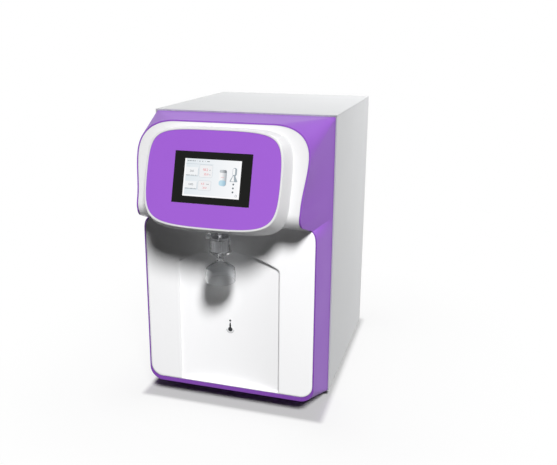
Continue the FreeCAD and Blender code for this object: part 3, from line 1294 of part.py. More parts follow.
def valve_bodies():
    """Valve blocks, each on a foot from the rear panel, with a stub below."""
    low, high = VALVE_Z - VALVE_H / 2, VALVE_Z + VALVE_H / 2
    back = VALVE_Y + VALVE_D / 2
    bodies = []
    for x in VALVE_X:
        across = (x - VALVE_W / 2, x + VALVE_W / 2)
        body = rounded_bar(across, (VALVE_Y - VALVE_D / 2, back), (low, high), VALVE_ROUND, Z)
        foot = block(across, (back, BACK_INNER), (low, low + VALVE_FOOT_T))
        stub = sleeve(V(x, VALVE_Y, low), V(0, 0, -1), PORT_STUB_R, TUBE_BORE, PORT_STUB_H + 1)
        bodies.append(joined(body, foot, stub))
    return group(bodies)


def valve_coils():
    """Coils on the valve blocks, each with its nut and two blade tabs."""
    low = VALVE_Z + VALVE_H / 2
    half_w, half_d = VALVE_W / 2 - COIL_LESS, VALVE_D / 2 - COIL_LESS
    coils = []
    for x in VALVE_X:
        coil = rounded_bar((x - half_w, x + half_w), (VALVE_Y - half_d, VALVE_Y + half_d),
                           (low, low + COIL_H), VALVE_ROUND + COIL_LESS, Z)
        nut = prism_hex(V(x, VALVE_Y, low + COIL_H), Z, COIL_NUT, COIL_NUT_T)
        tabs = [block((x - half_w - TAB_LEN, x - half_w), (y - TAB_LEN / 2, y + TAB_LEN / 2),
                      (low + TAB_UP, low + TAB_UP + TAB_T)) for y in (VALVE_Y - TAB_LEN, VALVE_Y + TAB_LEN)]
        coils.append(joined(coil, nut, *tabs))
    return group(coils)


def power_supply():
    """Supply in a vented cover, on two ears from the rear panel."""
    front, high = SUPPLY_REAR - SUPPLY_D, SUPPLY_LOW + SUPPLY_H
    body = rounded_bar((SUPPLY_LEFT, SUPPLY_RIGHT), (front, SUPPLY_REAR), (SUPPLY_LOW, high), 2, Z)
    slots = []
    for k in range(SUPPLY_SLOTS):
        z = SUPPLY_LOW + EAR_H + SUPPLY_SLOT_H + k * SUPPLY_SLOT_PITCH
        slots.append(block((SUPPLY_LEFT + SUPPLY_SLOT_IN, SUPPLY_RIGHT - SUPPLY_SLOT_IN),
                           (front - 1, front + SUPPLY_SLOT_DEEP), (z, z + SUPPLY_SLOT_H)))
    middle = (SUPPLY_LEFT + SUPPLY_RIGHT) / 2
    ears = [block((middle - EAR_W / 2, middle + EAR_W / 2), (SUPPLY_REAR, BACK_INNER), (z, z + EAR_H))
            for z in (SUPPLY_LOW + EAR_IN, high - EAR_IN - EAR_H)]
    return joined(cut_by(body, *slots), *ears)


def main_board():
    face = BRACKET_X - MAIN_BOARD_OFF
    back = face - BOARD_T
    y0, z0 = MAIN_BOARD_Y, MAIN_BOARD_LOW
    far_y, far_z = MAIN_BOARD_D - MAIN_POST_IN, MAIN_BOARD_H - MAIN_POST_IN
    board = block((back, face), (y0, y0 + MAIN_BOARD_D), (z0, z0 + MAIN_BOARD_H))
    posts = [rod(V(face, y0 + dy, z0 + dz), X, MAIN_POST_R, MAIN_BOARD_OFF)
             for dy in (MAIN_POST_IN, far_y) for dz in (MAIN_POST_IN, far_z)]
    parts = [block((back - off, back), (y0 + dy, y0 + dy + w), (z0 + dz, z0 + dz + h))
             for dy, w, dz, h, off in MAIN_PARTS]
    return joined(board, *posts, *parts)


# ---- rear fittings ----

def port_bodies():
    """Bulkhead bodies with their hexagons, bored for the collet, the tube and its stop."""
    mouth = CASE_D + PORT_HEX_T + PORT_OUT
    seat = COLLET_LEN + COLLET_TRAVEL + SOFT_GAP
    bodies = []
    for x in PORT_X:
        start = V(x, CASE_D, PORT_Z)
        outside = joined(prism_hex(start, Y, PORT_HEX, PORT_HEX_T),
                         rod(start, Y, PORT_BODY_R, PORT_HEX_T + PORT_OUT),
                         rod(start, V(0, -1, 0), PORT_BODY_R, SHEET + PORT_IN))
        tools = [rod(V(x, mouth - seat, PORT_Z), Y, COLLET_R + RUN_GAP, seat + 1),
                 rod(V(x, mouth - seat - TUBE_STOP, PORT_Z), Y, PORT_BORE_R, seat + TUBE_STOP),
                 rod(V(x, BACK_INNER - PORT_IN - 1, PORT_Z), Y, TUBE_BORE, PORT_IN * 3)]
        bodies.append(cut_by(outside, *tools))
    return group(bodies)


def port_nuts():
    return group(cut_by(prism_hex(V(x, BACK_INNER, PORT_Z), V(0, -1, 0), PORT_HEX, PORT_NUT_T),
                        rod(V(x, 0, PORT_Z), Y, PORT_BODY_R, CASE_D)) for x in PORT_X)


def port_collet(x):
    """Release collet: a sleeve in the body with the flange that a finger presses."""
    mouth = CASE_D + PORT_HEX_T + PORT_OUT
    end = mouth + COLLET_TRAVEL + SOFT_GAP
    tail = rod(V(x, mouth - COLLET_LEN, PORT_Z), Y, COLLET_R, end - mouth + COLLET_LEN)
    head = turned([(0, 0), (COLLET_HEAD_R, 0), (COLLET_HEAD_R, COLLET_HEAD_T - COLLET_EDGE),
                   (COLLET_HEAD_R - COLLET_EDGE, COLLET_HEAD_T), (0, COLLET_HEAD_T)], V(x, end, PORT_Z), Y)
    return cut_by(joined(tail, head), rod(V(x, CASE_D, PORT_Z), Y, PORT_BORE_R, PORT_OUT * 3))


def mains_inlet():
    """Flanged mains inlet with three flat pins over the fuse drawer's slot."""
    w, h = INLET_W / 2, INLET_H / 2
    back = CASE_D - FUSE_DEPTH - INLET_BEHIND
    under = CUT_UNDER + BODY_GAP
    flange = rounded_bar((INLET_X - w, INLET_X + w), (CASE_D, CASE_D + INLET_T),
                         (INLET_Z - h, INLET_Z + h), 3)
    body = block((INLET_X - w + under, INLET_X + w - under), (back, CASE_D),
                 (INLET_Z - h + under, INLET_Z + h - under))
    face = CASE_D + INLET_T
    z = INLET_Z + SOCKET_UP
    cavity = rounded_bar((INLET_X - SOCKET_W / 2, INLET_X + SOCKET_W / 2), (face - SOCKET_DEPTH, face + 1),
                         (z - SOCKET_H / 2, z + SOCKET_H / 2), SOCKET_ROUND)
    slot_z = INLET_Z - FUSE_DOWN
    half_w, half_h = FUSE_W / 2 + SOFT_GAP, FUSE_H / 2 + SOFT_GAP
    slot = block((INLET_X - half_w, INLET_X + half_w), (face - FUSE_DEPTH, face + 1),
                 (slot_z - half_h, slot_z + half_h))
    pins = [block((INLET_X + dx - PIN_W / 2, INLET_X + dx + PIN_W / 2),
                  (face - SOCKET_DEPTH, face - PIN_SHORT),
                  (z + dz - PIN_H / 2, z + dz + PIN_H / 2)) for dx, dz in PIN_PLACES]
    tab_t, tab_len, tab_w = SOLDER_TAB
    tabs = [block((x - tab_t / 2, x + tab_t / 2), (back - tab_len, back), (z - tab_w / 2, z + tab_w / 2))
            for x in (INLET_X - SOLDER_TAB_PITCH, INLET_X, INLET_X + SOLDER_TAB_PITCH)]
    return joined(cut_by(joined(flange, body), cavity, slot), *pins, *tabs)


def fuse_drawer():
    """Drawer with a well for one fuse and a small grip rib."""
    face = CASE_D + INLET_T
    z = INLET_Z - FUSE_DOWN
    out = face + FUSE_PROUD
    back = face - FUSE_DEPTH + 1
    grip_w, grip_d, grip_h = FUSE_GRIP
    box = block((INLET_X - FUSE_W / 2, INLET_X + FUSE_W / 2), (back, out), (z - FUSE_H / 2, z + FUSE_H / 2))
    well = block((INLET_X - FUSE_W / 2 + FUSE_WALL, INLET_X + FUSE_W / 2 - FUSE_WALL),
                 (back + FUSE_WALL, face - FUSE_WALL - 1), (z - FUSE_H / 2 + FUSE_WALL, z + FUSE_H))
    grip = rounded_bar((INLET_X - grip_w / 2, INLET_X + grip_w / 2), (out, out + grip_d),
                       (z - grip_h / 2, z + grip_h / 2), FUSE_GRIP_ROUND)
    return joined(cut_by(box, well), grip)


def switch_frame():
    """Frame of the rocker switch, clipped into its cut in the rear panel."""
    w, h = SWITCH_W / 2, SWITCH_H / 2
    under = FLANGE_OVER + BODY_GAP
    flange = rounded_bar((SWITCH_X - w - FLANGE_OVER, SWITCH_X + w + FLANGE_OVER),
                         (CASE_D, CASE_D + SWITCH_T),
                         (SWITCH_Z - h - FLANGE_OVER, SWITCH_Z + h + FLANGE_OVER), 2)
    body = block((SWITCH_X - w + under, SWITCH_X + w - under), (CASE_D - SWITCH_D, CASE_D),
                 (SWITCH_Z - h + under, SWITCH_Z + h - under))
    well_w, well_h = ROCKER_W / 2 + SOFT_GAP, ROCKER_H / 2 + 1
    well = block((SWITCH_X - well_w, SWITCH_X + well_w), (CASE_D - SWITCH_WELL, CASE_D + SWITCH_T + 1),
                 (SWITCH_Z - well_h, SWITCH_Z + well_h))
    return cut_by(joined(flange, body), well)


def rocker_switch():
    """Rocker with two flats, resting with its lower half pressed in."""
    y = CASE_D + SWITCH_T
    half = ROCKER_H / 2
    side = [V(0, 0, -half), V(0, ROCKER_RISE, -half), V(0, ROCKER_DIP, 0), V(0, ROCKER_RISE, half),
            V(0, 0, half), V(0, -ROCKER_DEEP, half * 0.55), V(0, -ROCKER_DEEP, -half * 0.55)]
    body = Part.Face(Part.makePolygon(side + side[:1])).extrude(X * ROCKER_W)
    body.translate(V(SWITCH_X - ROCKER_W / 2, y, SWITCH_Z))
    body.rotate(rocker_pivot(), X, ROCKER_ANGLE)
    return body


def rocker_pivot():
    return V(SWITCH_X, CASE_D + SWITCH_T - PIVOT_DOWN, SWITCH_Z)


# ---- tubes ----

def head_port(place, side):
    return V(CART_X + side * PORT_SPREAD, cart_y(place), CART_TOP + HEAD_BLOCK_H + PORT_STUB_H)


def water_tubes():
    """Named water tubes, each from the end of one stub to the end of the next."""
    pump_y = PUMP_FROM + PUMP_LEN + PUMP_HEAD_LEN / 2
    pump_top = PUMP_Z + PUMP_HEAD / 2 + PORT_STUB_H
    pump_in, pump_out = PUMP_X - PORT_SPREAD, PUMP_X + PORT_SPREAD
    port_end = BACK_INNER - PORT_IN
    turn_y, feed_z = port_end - FEED_BACK, pump_top + FEED_RISE
    over = CASE_H - TUBE_OVER
    roof = head_port(0, 1).z + LINK_RISE
    circ_y = CIRC_FROM + CIRC_LEN + CIRC_HEAD_LEN / 2
    circ_top = CIRC_Z + CIRC_HEAD / 2 + PORT_STUB_H - 1
    circ_in, circ_out = CIRC_X + CIRC_SPREAD, CIRC_X - CIRC_SPREAD
    lamp_low = LAMP_LOW - LAMP_CAP_H - PORT_STUB_H
    lamp_top = LAMP_LOW + LAMP_LEN + LAMP_CAP_H + PORT_STUB_H
    fitting_top = OUTLET_SEAT + FITTING_H
    feed = [V(PORT_X[0], port_end, PORT_Z), V(PORT_X[0], turn_y, PORT_Z), V(PORT_X[0], turn_y, feed_z),
            V(pump_in, pump_y, feed_z), V(pump_in, pump_y, pump_top)]
    pressure = [V(pump_out, pump_y, pump_top), V(pump_out, pump_y, over), V(pump_out, cart_y(0), over),
                V(head_port(0, -1).x, cart_y(0), over), head_port(0, -1)]
    first_link = [head_port(0, 1), V(head_port(0, 1).x, cart_y(0), roof),
                  V(head_port(0, 1).x, cart_y(1), roof), head_port(1, 1)]
    second_link = [head_port(1, -1), V(head_port(1, -1).x, cart_y(1), roof),
                   V(head_port(1, -1).x, cart_y(2), roof), head_port(2, -1)]
    polish = [head_port(2, 1), V(head_port(2, 1).x, cart_y(2), over), V(circ_in, cart_y(2), over),
              V(circ_in, circ_y, over), V(circ_in, circ_y, circ_top)]
    lamp = [V(circ_out, circ_y, circ_top), V(circ_out, circ_y, circ_top + LAMP_RISE),
            V(LAMP_X - LAMP_LEAN, LAMP_Y + LAMP_AWAY, circ_top + LAMP_RISE),
            V(LAMP_X, LAMP_Y + LAMP_NEAR, lamp_low - LAMP_UNDER),
            V(LAMP_X, LAMP_Y, lamp_low - LAMP_UNDER), V(LAMP_X, LAMP_Y, lamp_low)]
    outlet = [V(LAMP_X, LAMP_Y, lamp_top), V(LAMP_X, LAMP_Y, lamp_top + OUTLET_OVER),
              V(0, -OUTLET_FALL, lamp_top + OUTLET_OVER), V(0, -OUTLET_FALL, fitting_top + FITTING_OVER),
              V(0, OUTLET_Y, fitting_top + FITTING_OVER), V(0, OUTLET_Y, fitting_top)]
    return {"tube_feed": [feed], "tube_pressure": [pressure], "cartridge_links": [first_link, second_link],
            "tube_polished": [polish], "tube_lamp": [lamp], "tube_outlet": [outlet]}


# ---- the whole unit ----

def build():
    """All nodes by name, in the case frame."""
    nodes = {
        "base_tray": screw_clearance(base_tray()),
        "top_cover": screw_clearance(top_cover()),
        "left_panel": left_panel(),
        "rear_panel": rear_panel(),
        "front_frame": front_frame(),
        "rubber_feet": rubber_feet(),
        "foot_screws": foot_screws(),
        "pan_screws": pan_screws(),
        "service_door": service_door(),
        "hinge_pins": hinge_pins(),
        "magnet_catches": magnet_catches(),
        "front_bezel": front_bezel(),
        "head_surround": head_surround(),
        "lower_panel": lower_panel(),
        "display_pod": display_pod(),
        "pod_overlay": pod_overlay(),
        "screen_frame": screen_frame(),
        "display_panel": display_panel(),
        "display_board": display_board(),
        "outlet_fitting": outlet_fitting(),
        "filter_cap": filter_cap(),
        "filter_grip": filter_grip(),
        "filter_membrane": filter_membrane(),
        "filter_bell": filter_bell(),
        "vent_knob": vent_knob(),
        "cartridge_bracket": cartridge_bracket(),
        "booster_pump_motor": booster_pump(),
        "booster_pump_head": pump_head(),
        "pump_cradle": pump_cradle(),
        "pump_mounts": pump_mounts(),
        "circulation_pump": circulation_pump(),
        "lamp_chamber": lamp_chamber(),
        "lamp_caps": lamp_caps(),
        "lamp_clips": lamp_clips(),
        "valve_bodies": valve_bodies(),
        "valve_coils": valve_coils(),
        "power_supply": power_supply(),
        "main_board": main_board(),
        "port_bodies": port_bodies(),
        "port_nuts": port_nuts(),
        "mains_inlet": mains_inlet(),
        "fuse_drawer": fuse_drawer(),
        "switch_frame": switch_frame(),
        "rocker_switch": rocker_switch(),
    }
    for place, name in enumerate(("pretreatment", "osmosis", "polishing")):
        nodes[name + "_head"] = cartridge_head(place)
        nodes[name + "_cartridge"] = cartridge(place)
    for name, x in zip(("feed", "drain", "tank", "recirculation"), PORT_X):
        nodes[name + "_collet"] = port_collet(x)
    for name, routes in water_tubes().items():
        tubes = [tube_along(points) for points in routes]
        nodes[name] = group(tubes) if len(tubes) > 1 else tubes[0]
    return nodes


def front_most():
    """The pod's rim at its lower middle, where its small rounding reaches furthest forward."""
    return pod_body().optimalBoundingBox().YMin


def origin_shift():
    """From the case frame to the middle of the footprint at the underside of the feet."""
    back_most = CASE_D + PORT_HEX_T + PORT_OUT + COLLET_TRAVEL + SOFT_GAP + COLLET_HEAD_T
    return V(0, -(front_most() + back_most) / 2, FOOT_H)


def main():
    os.makedirs("parts", exist_ok=True)
    shift = origin_shift()
    for name, shape in build().items():
        shape.translate(shift)
        shape.exportStep("parts/" + name + ".step")


if __name__ == "__main__":
    main()
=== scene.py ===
"""Finishes and small details of a benchtop ultrapure water system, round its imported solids.

Lengths are metres in the frame's own axes: X across, Y from front to back, Z up. Sizes that end
in _MM are millimetres, as the screen's layout is, and mm() turns them into metres. Places on the
unit are worked out from the frame's boxes and surfaces.
"""
from math import atan, cos, pi, radians, sin, tan

import bmesh
import bpy
from bpy.props import FloatProperty, FloatVectorProperty, PointerProperty
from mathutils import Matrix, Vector


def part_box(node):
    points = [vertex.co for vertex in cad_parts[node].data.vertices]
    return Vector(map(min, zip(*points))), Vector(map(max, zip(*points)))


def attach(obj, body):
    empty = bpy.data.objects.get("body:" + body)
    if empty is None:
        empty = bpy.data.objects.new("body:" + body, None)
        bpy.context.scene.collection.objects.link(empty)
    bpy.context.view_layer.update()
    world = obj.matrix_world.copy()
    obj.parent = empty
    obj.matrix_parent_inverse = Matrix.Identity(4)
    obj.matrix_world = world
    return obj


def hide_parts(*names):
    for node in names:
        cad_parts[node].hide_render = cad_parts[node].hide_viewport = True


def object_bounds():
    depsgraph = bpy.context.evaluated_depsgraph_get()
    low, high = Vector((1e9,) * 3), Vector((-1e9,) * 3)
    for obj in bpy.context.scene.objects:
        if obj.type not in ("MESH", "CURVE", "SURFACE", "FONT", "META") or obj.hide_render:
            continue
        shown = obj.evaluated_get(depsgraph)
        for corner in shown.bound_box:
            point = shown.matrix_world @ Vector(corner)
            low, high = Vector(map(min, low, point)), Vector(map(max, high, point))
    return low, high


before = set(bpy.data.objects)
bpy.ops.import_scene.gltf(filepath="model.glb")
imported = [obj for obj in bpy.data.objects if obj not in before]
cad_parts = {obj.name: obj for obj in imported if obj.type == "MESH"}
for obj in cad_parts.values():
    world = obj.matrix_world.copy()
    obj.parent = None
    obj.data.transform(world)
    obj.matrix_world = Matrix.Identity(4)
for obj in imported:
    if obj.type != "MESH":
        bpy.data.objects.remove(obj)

bl_info = {
    "name": "Ultrapure Water System",
    "version": (1, 0, 0),
    "blender": (4, 5, 0),
    "location": "3D View > Sidebar > Water System",
    "description": "Finishes, screen graphics and small details of a benchtop water system",
    "category": "Object",
}

CAD_BOX = [list(corner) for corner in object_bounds()]


def mm(length):
    return length / 1000


def linear(red, green, blue):
    """Colour of the 0 to 255 scale as the linear values that shaders take."""
    def one(level):
        share = level / 255
        return share / 12.92 if share <= 0.04045 else ((share + 0.055) / 1.055) ** 2.4
    return one(red), one(green), one(blue)


# ---- places on the unit ----

def middle(node):
    low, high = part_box(node)
    return (low + high) / 2


def rear_middle(low, high):
    """Middle of a box's rear face."""
    return Vector(((low.x + high.x) / 2, high.y, (low.z + high.z) / 2))


HEAD_TILT = radians(17)
FACE_UP = Vector((0, sin(HEAD_TILT), cos(HEAD_TILT)))
FACE_OUT = Vector((0, -cos(HEAD_TILT), sin(HEAD_TILT)))
FACE_MIDDLE = middle("screen_frame")
GLASS_LIFT_MM = 0.1            # lit face over the middle of the screen frame's plate
GLASS_W_MM = 91.8
GLASS_H_MM = 57.8
RAY_MM = 30.0                  # how far outside a node the search for its surface starts


def on_glass(across, up, lift):
    """Point over the display's lit face, in millimetres from its middle."""
    out = mm(GLASS_LIFT_MM + lift)
    return FACE_MIDDLE + Vector((mm(across), 0, 0)) + FACE_UP * mm(up) + FACE_OUT * out


def hit(node, start, way):
    """Where a ray first meets a solid of the frame."""
    found, place, _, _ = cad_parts[node].ray_cast(start, way)
    if not found:
        raise RuntimeError(f"no surface of {node} lies that way from {tuple(start)}")
    return place


# ---- settings a user would change ----

def colour_setting(name, description, default):
    return FloatVectorProperty(name=name, description=description, default=default, size=3,
                               min=0, max=1, subtype="COLOR")


def length_setting(name, description, default_mm):
    return FloatProperty(name=name, description=description, default=mm(default_mm), min=0,
                         unit="LENGTH", precision=5)


def strength_setting(name, description, default):
    return FloatProperty(name=name, description=description, default=default, min=0)


def power_setting(name, description, default):
    return FloatProperty(name=name, description=description, default=default, min=0, unit="POWER")


def angle_setting(name, description, degrees):
    return FloatProperty(name=name, description=description, default=radians(degrees),
                         subtype="ANGLE")


class WaterColours(bpy.types.PropertyGroup):
    """Colours of the unit's finishes."""
    bezel: colour_setting("Bezel", "Purple of the front bezel", linear(152, 89, 203))
    film: colour_setting("Pod film", "Purple of the film round the screen", linear(173, 104, 228))
    moulding: colour_setting("Mouldings", "White of the front mouldings", linear(246, 246, 247))
    case: colour_setting("Case", "Grey of the powder coated case", linear(222, 223, 224))
    mask: colour_setting("Screen frame", "Black of the screen frame", linear(24, 25, 23))
    glass: colour_setting("Screen ground", "Ground colour of the lit screen", linear(222, 230, 235))
    figures: colour_setting("Readings", "Red of the readings", linear(226, 74, 86))
    ink: colour_setting("Screen ink", "Dark grey of the screen's marks", linear(92, 98, 104))
    water: colour_setting("Screen water", "Blue of the water in the tank sign", linear(190, 222, 236))
    mark: colour_setting("Drop mark", "Black of the drop printed in the recess", linear(34, 36, 40))
    bands: colour_setting("Cartridge bands", "Colour of the cartridges' bands", linear(120, 78, 178))


class WaterSizes(bpy.types.PropertyGroup):
    """Sizes of the small details."""
    peel: length_setting("Orange peel", "Width of a bump of the powder coat", 1.3)
    grain: length_setting("Film grain", "Width of a grain of the film's surface", 0.28)
    case_edge: length_setting("Sheet edge", "Rounding seen on sheet edges", 1.0)
    moulding_edge: length_setting("Moulding edge", "Rounding seen on moulded edges", 0.7)
    panel_edge: length_setting("Panel edge", "Rounding seen on the recess's edges", 4.0)
    ink_height: length_setting("Print height", "Thickness of printed marks", 0.06)
    drop_height: length_setting("Drop mark", "Height of the printed drop with its dot", 24.0)
    port_figures: length_setting("Port numbers", "Height of the numbers over the ports", 7.0)
    band_height: length_setting("Cartridge band", "Height of a cartridge's band", 46.0)


class WaterStage(bpy.types.PropertyGroup):
    """Lamps and camera."""
    key: strength_setting("Key light", "Strength of the far light at the front right", 2.45)
    panel: power_setting("Panel lamp", "Power of the lamp that lifts the lower panel", 200)
    head: power_setting("Head lamp", "Power of the lamp that lifts the head's front", 53)
    side: power_setting("Side lamp", "Power of the lamp at the right", 5)
    top: power_setting("Top lamp", "Power of the lamp overhead", 3)
    rear: power_setting("Rear lamp", "Power of the lamp behind", 34)
    left: power_setting("Left lamp", "Power of the lamp at the left", 24)
    ambient: strength_setting("Room light", "Strength of the even light of the room", 0.025)
    distance: FloatProperty(name="Camera distance", description="From the camera to its aim",
                            default=1.2138, min=0.1, unit="LENGTH")
    turn: angle_setting("Camera turn", "Angle of the camera to the right of the front", 17.39)
    rise: angle_setting("Camera rise", "Angle of the camera over the level", 15.49)
    lens: FloatProperty(name="Lens", description="Focal length in millimetres", default=44.77, min=1)


# ---- shader graphs ----

class Value:
    """Socket of a shader node that takes part in Python arithmetic; each step adds a Math node."""

    def __init__(self, graph, socket):
        self.graph = graph
        self.socket = socket

    def __add__(self, other):
        return self.graph.maths("ADD", self, other)

    __radd__ = __add__

    def __sub__(self, other):
        return self.graph.maths("SUBTRACT", self, other)

    def __rsub__(self, other):
        return self.graph.maths("SUBTRACT", other, self)

    def __mul__(self, other):
        return self.graph.maths("MULTIPLY", self, other)

    __rmul__ = __mul__

    def __truediv__(self, other):
        return self.graph.maths("DIVIDE", self, other)

    def __rtruediv__(self, other):
        return self.graph.maths("DIVIDE", other, self)


class Graph:
    """Shader tree of a material or a world; each of its nodes comes from node()."""

    def __init__(self, owner):
        self.owner = owner
        owner.use_nodes = True
        self.tree = owner.node_tree
        self.tree.nodes.clear()

    def node(self, kind, settings=None, inputs=None):
        made = self.tree.nodes.new("ShaderNode" + kind)
        for name, value in (settings or {}).items():
            if name == "stops":
                self.set_stops(made.color_ramp.elements, value)
            else:
                setattr(made, name, value)
        for name, value in (inputs or {}).items():
            socket = made.inputs[name]
            if isinstance(value, Value):
                self.tree.links.new(value.socket, socket)
            elif socket.type == "RGBA":
                socket.default_value = (*value[:3], 1)
            else:
                socket.default_value = value
        return made

    @staticmethod
    def set_stops(elements, stops):
        while len(elements) < len(stops):
            elements.new(1)
        for element, (place, level) in zip(elements, stops):
            element.position = place
            element.color = (level, level, level, 1)

    def value(self, kind, settings=None, inputs=None, output=0):
        return Value(self, self.node(kind, settings, inputs).outputs[output])

    def maths(self, operation, first, second=0.0):
        return self.value("Math", {"operation": operation}, {0: first, 1: second})

    def vector(self, operation, first, second=(0, 0, 0), output=0):
        return self.value("VectorMath", {"operation": operation}, {0: first, 1: second}, output)

    def place(self):
        return self.value("TexCoord", output="Object")

    def along(self, way):
        """Distance of the shaded point along a direction, in metres."""
        return self.vector("DOT_PRODUCT", self.place(), way, "Value")

    def noise(self, size, detail=2.0, stretch=(1, 1, 1)):
        """Noise whose blobs are about size metres wide, stretched along the axes."""
        scaled = self.vector("MULTIPLY", self.place(), stretch)
        return self.value("TexNoise", {}, {"Vector": scaled, "Scale": 1 / size, "Detail": detail})

    def cells(self, size):
        """Grey tone that jumps from one cell to the next, with cells about size metres wide."""
        cell = self.value("TexVoronoi", {"feature": "F1"}, {"Vector": self.place(), "Scale": 1 / size},
                          "Color")
        return self.value("RGBToBW", {}, {"Color": cell})

    def ramp(self, factor, *stops):
        return self.value("ValToRGB", {"stops": stops}, {"Fac": factor})

    def mix(self, factor, first, second, blend="MIX"):
        """Colour between two others."""
        return self.value("Mix", {"data_type": "RGBA", "blend_type": blend},
                          {0: factor, 6: first, 7: second}, output=2)

    def tinted(self, factor, colour, low, high=1.0):
        """Colour between two shades of one."""
        return self.mix(factor, shade(colour, low), shade(colour, high))

    def edge(self, radius):
        """Normal that rounds sharp edges."""
        return self.value("Bevel", {"samples": 4}, {"Radius": radius})

    def bump(self, height, depth, normal=None):
        inputs = {"Height": height, "Distance": depth, "Strength": 1.0}
        if normal is not None:
            inputs["Normal"] = normal
        return self.value("Bump", {}, inputs)

    def seen_by(self, *kinds):
        """1 for rays of these kinds and 0 for all others."""
        path = self.node("LightPath")
        share = 0.0
        for kind in kinds:
            share = self.maths("MAXIMUM", Value(self, path.outputs[f"Is {kind} Ray"]), share)
        return share

    def output(self, kind, shader):
        """Makes a shader the tree's result and gives back the material or world."""
        self.node("Output" + kind, {}, {"Surface": shader})
        return self.owner

    def surface(self, inputs):
        return self.output("Material", self.value("BsdfPrincipled", {}, inputs))

    def glow(self, colour):
        """Surface of the lit display: dark glass that gives light of a colour."""
        return self.surface({
            "Base Color": (0.02, 0.02, 0.02),
            "Roughness": 0.22,
            "Specular IOR Level": 0.25,
            "Emission Color": colour,
            "Emission Strength": 1.0,
        })


def new_graph(name):
    return Graph(bpy.data.materials.new(name))


def shade(colour, share):
    """Colour made darker or lighter by a share."""
    return tuple(min(1.0, level * share) for level in colour[:3])


# ---- finishes ----

def powder_coat(name, colour, peel, edge):
    """Sprayed and baked powder: fine orange peel and a faint cloud of tone."""
    graph = new_graph(name)
    skin = graph.noise(peel, 2) * 0.8 + graph.noise(peel / 4, 1) * 0.2
    return graph.surface({
        "Base Color": graph.tinted(graph.noise(mm(150), 3), colour, 0.975, 1.02),
        "Roughness": 0.5 + graph.noise(mm(22), 3) * 0.12,
        "Specular IOR Level": 0.16,
        "Normal": graph.bump(skin, mm(0.035), graph.edge(edge)),
    })


def gloss_moulding(name, colour, edge, roughness=0.26, coat=0.05, gloss=0.22):
    """Injection moulded gloss plastic with slight waviness and a broad change in its gloss."""
    graph = new_graph(name)
    return graph.surface({
        "Base Color": graph.tinted(graph.noise(mm(90), 2), colour, 0.985),
        "Roughness": roughness + graph.noise(mm(55), 1) * 0.06,
        "Specular IOR Level": gloss,
        "Coat Weight": coat,
        "Coat Roughness": 0.08,
        "Normal": graph.bump(graph.noise(mm(34), 2), mm(0.05), graph.edge(edge)),
    })


def printed_film(name, colour, grain):
    """Back-printed film with a fine velvet grain."""
    graph = new_graph(name)
    fine = graph.noise(grain, 2)
    return graph.surface({
        "Base Color": graph.tinted(graph.noise(mm(60), 3), colour, 0.98, 1.01),
        "Roughness": 0.42 + fine * 0.12,
        "Specular IOR Level": 0.2,
        "Normal": graph.bump(fine, mm(0.02)),
    })


def plain_moulding(name, colour, roughness=0.5, grain_mm=0.6):
    """Spark-textured moulding for inner and small parts."""
    graph = new_graph(name)
    fine = graph.noise(mm(grain_mm), 3)
    return graph.surface({
        "Base Color": graph.tinted(graph.noise(mm(14), 3), colour, 0.92, 1.06),
        "Roughness": roughness - 0.06 + fine * 0.14,
        "Normal": graph.bump(fine, mm(0.03), graph.edge(mm(0.35))),
    })


def zinc_sheet(name, colour):
    """Zinc plated sheet: broad spangle and rolling lines."""
    graph = new_graph(name)
    spangle = graph.cells(mm(7))
    lines = graph.noise(mm(0.8), 2, (1, 1, 0.04))
    return graph.surface({
        "Base Color": graph.tinted(spangle, colour, 0.86, 1.08),
        "Metallic": 1.0,
        "Roughness": 0.3 + spangle * 0.1 + lines * 0.08,
        "Normal": graph.bump(lines, mm(0.01), graph.edge(mm(0.4))),
    })


def polished_steel(name, colour, roughness, along=(1, 1, 0.03)):
    """Stainless tube, pin or plated screw with lines of polishing."""
    graph = new_graph(name)
    lines = graph.noise(mm(0.5), 3, along)
    return graph.surface({
        "Base Color": graph.tinted(lines, colour, 0.94, 1.04),
        "Metallic": 1.0,
        "Roughness": roughness + lines * 0.1,
        "Normal": graph.bump(lines, mm(0.006), graph.edge(mm(0.25))),
    })


def clear_moulding(name, colour, roughness, edge_mm, ior=1.35, gloss=0.35):
    """Clear moulded plastic with faint flow marks."""
    graph = new_graph(name)
    flow = graph.noise(mm(6), 3, (1, 1, 0.5))
    return graph.surface({
        "Base Color": colour,
        "Roughness": roughness + flow * 0.03,
        "IOR": ior,
        "Transmission Weight": 1.0,
        "Specular IOR Level": gloss,
        "Normal": graph.bump(flow, mm(0.03), graph.edge(mm(edge_mm))),
    })


def cloudy_moulding(name, colour):
    """Milky plastic that lets some light through, such as natural tube."""
    graph = new_graph(name)
    cloud = graph.noise(mm(5), 3)
    return graph.surface({
        "Base Color": graph.tinted(cloud, colour, 0.95),
        "Roughness": 0.3 + cloud * 0.1,
        "IOR": 1.5,
        "Transmission Weight": 0.45,
        "Normal": graph.bump(cloud, mm(0.02)),
    })


def filter_paper(name, colour):
    """Pleated membrane: fibrous white sheet."""
    graph = new_graph(name)
    fibres = graph.noise(mm(0.5), 4, (1, 1, 0.3))
    return graph.surface({
        "Base Color": graph.tinted(fibres, colour, 0.88),
        "Roughness": 0.8,
        "Normal": graph.bump(fibres, mm(0.08)),
    })


def black_rubber(name):
    """Moulded rubber with a pale bloom."""
    graph = new_graph(name)
    bloom = graph.noise(mm(5), 4)
    return graph.surface({
        "Base Color": graph.mix(bloom, (0.012, 0.012, 0.013), (0.035, 0.035, 0.036)),
        "Roughness": 0.68 + bloom * 0.16,
        "Specular IOR Level": 0.3,
        "Normal": graph.bump(graph.noise(mm(0.4), 2), mm(0.06), graph.edge(mm(0.6))),
    })


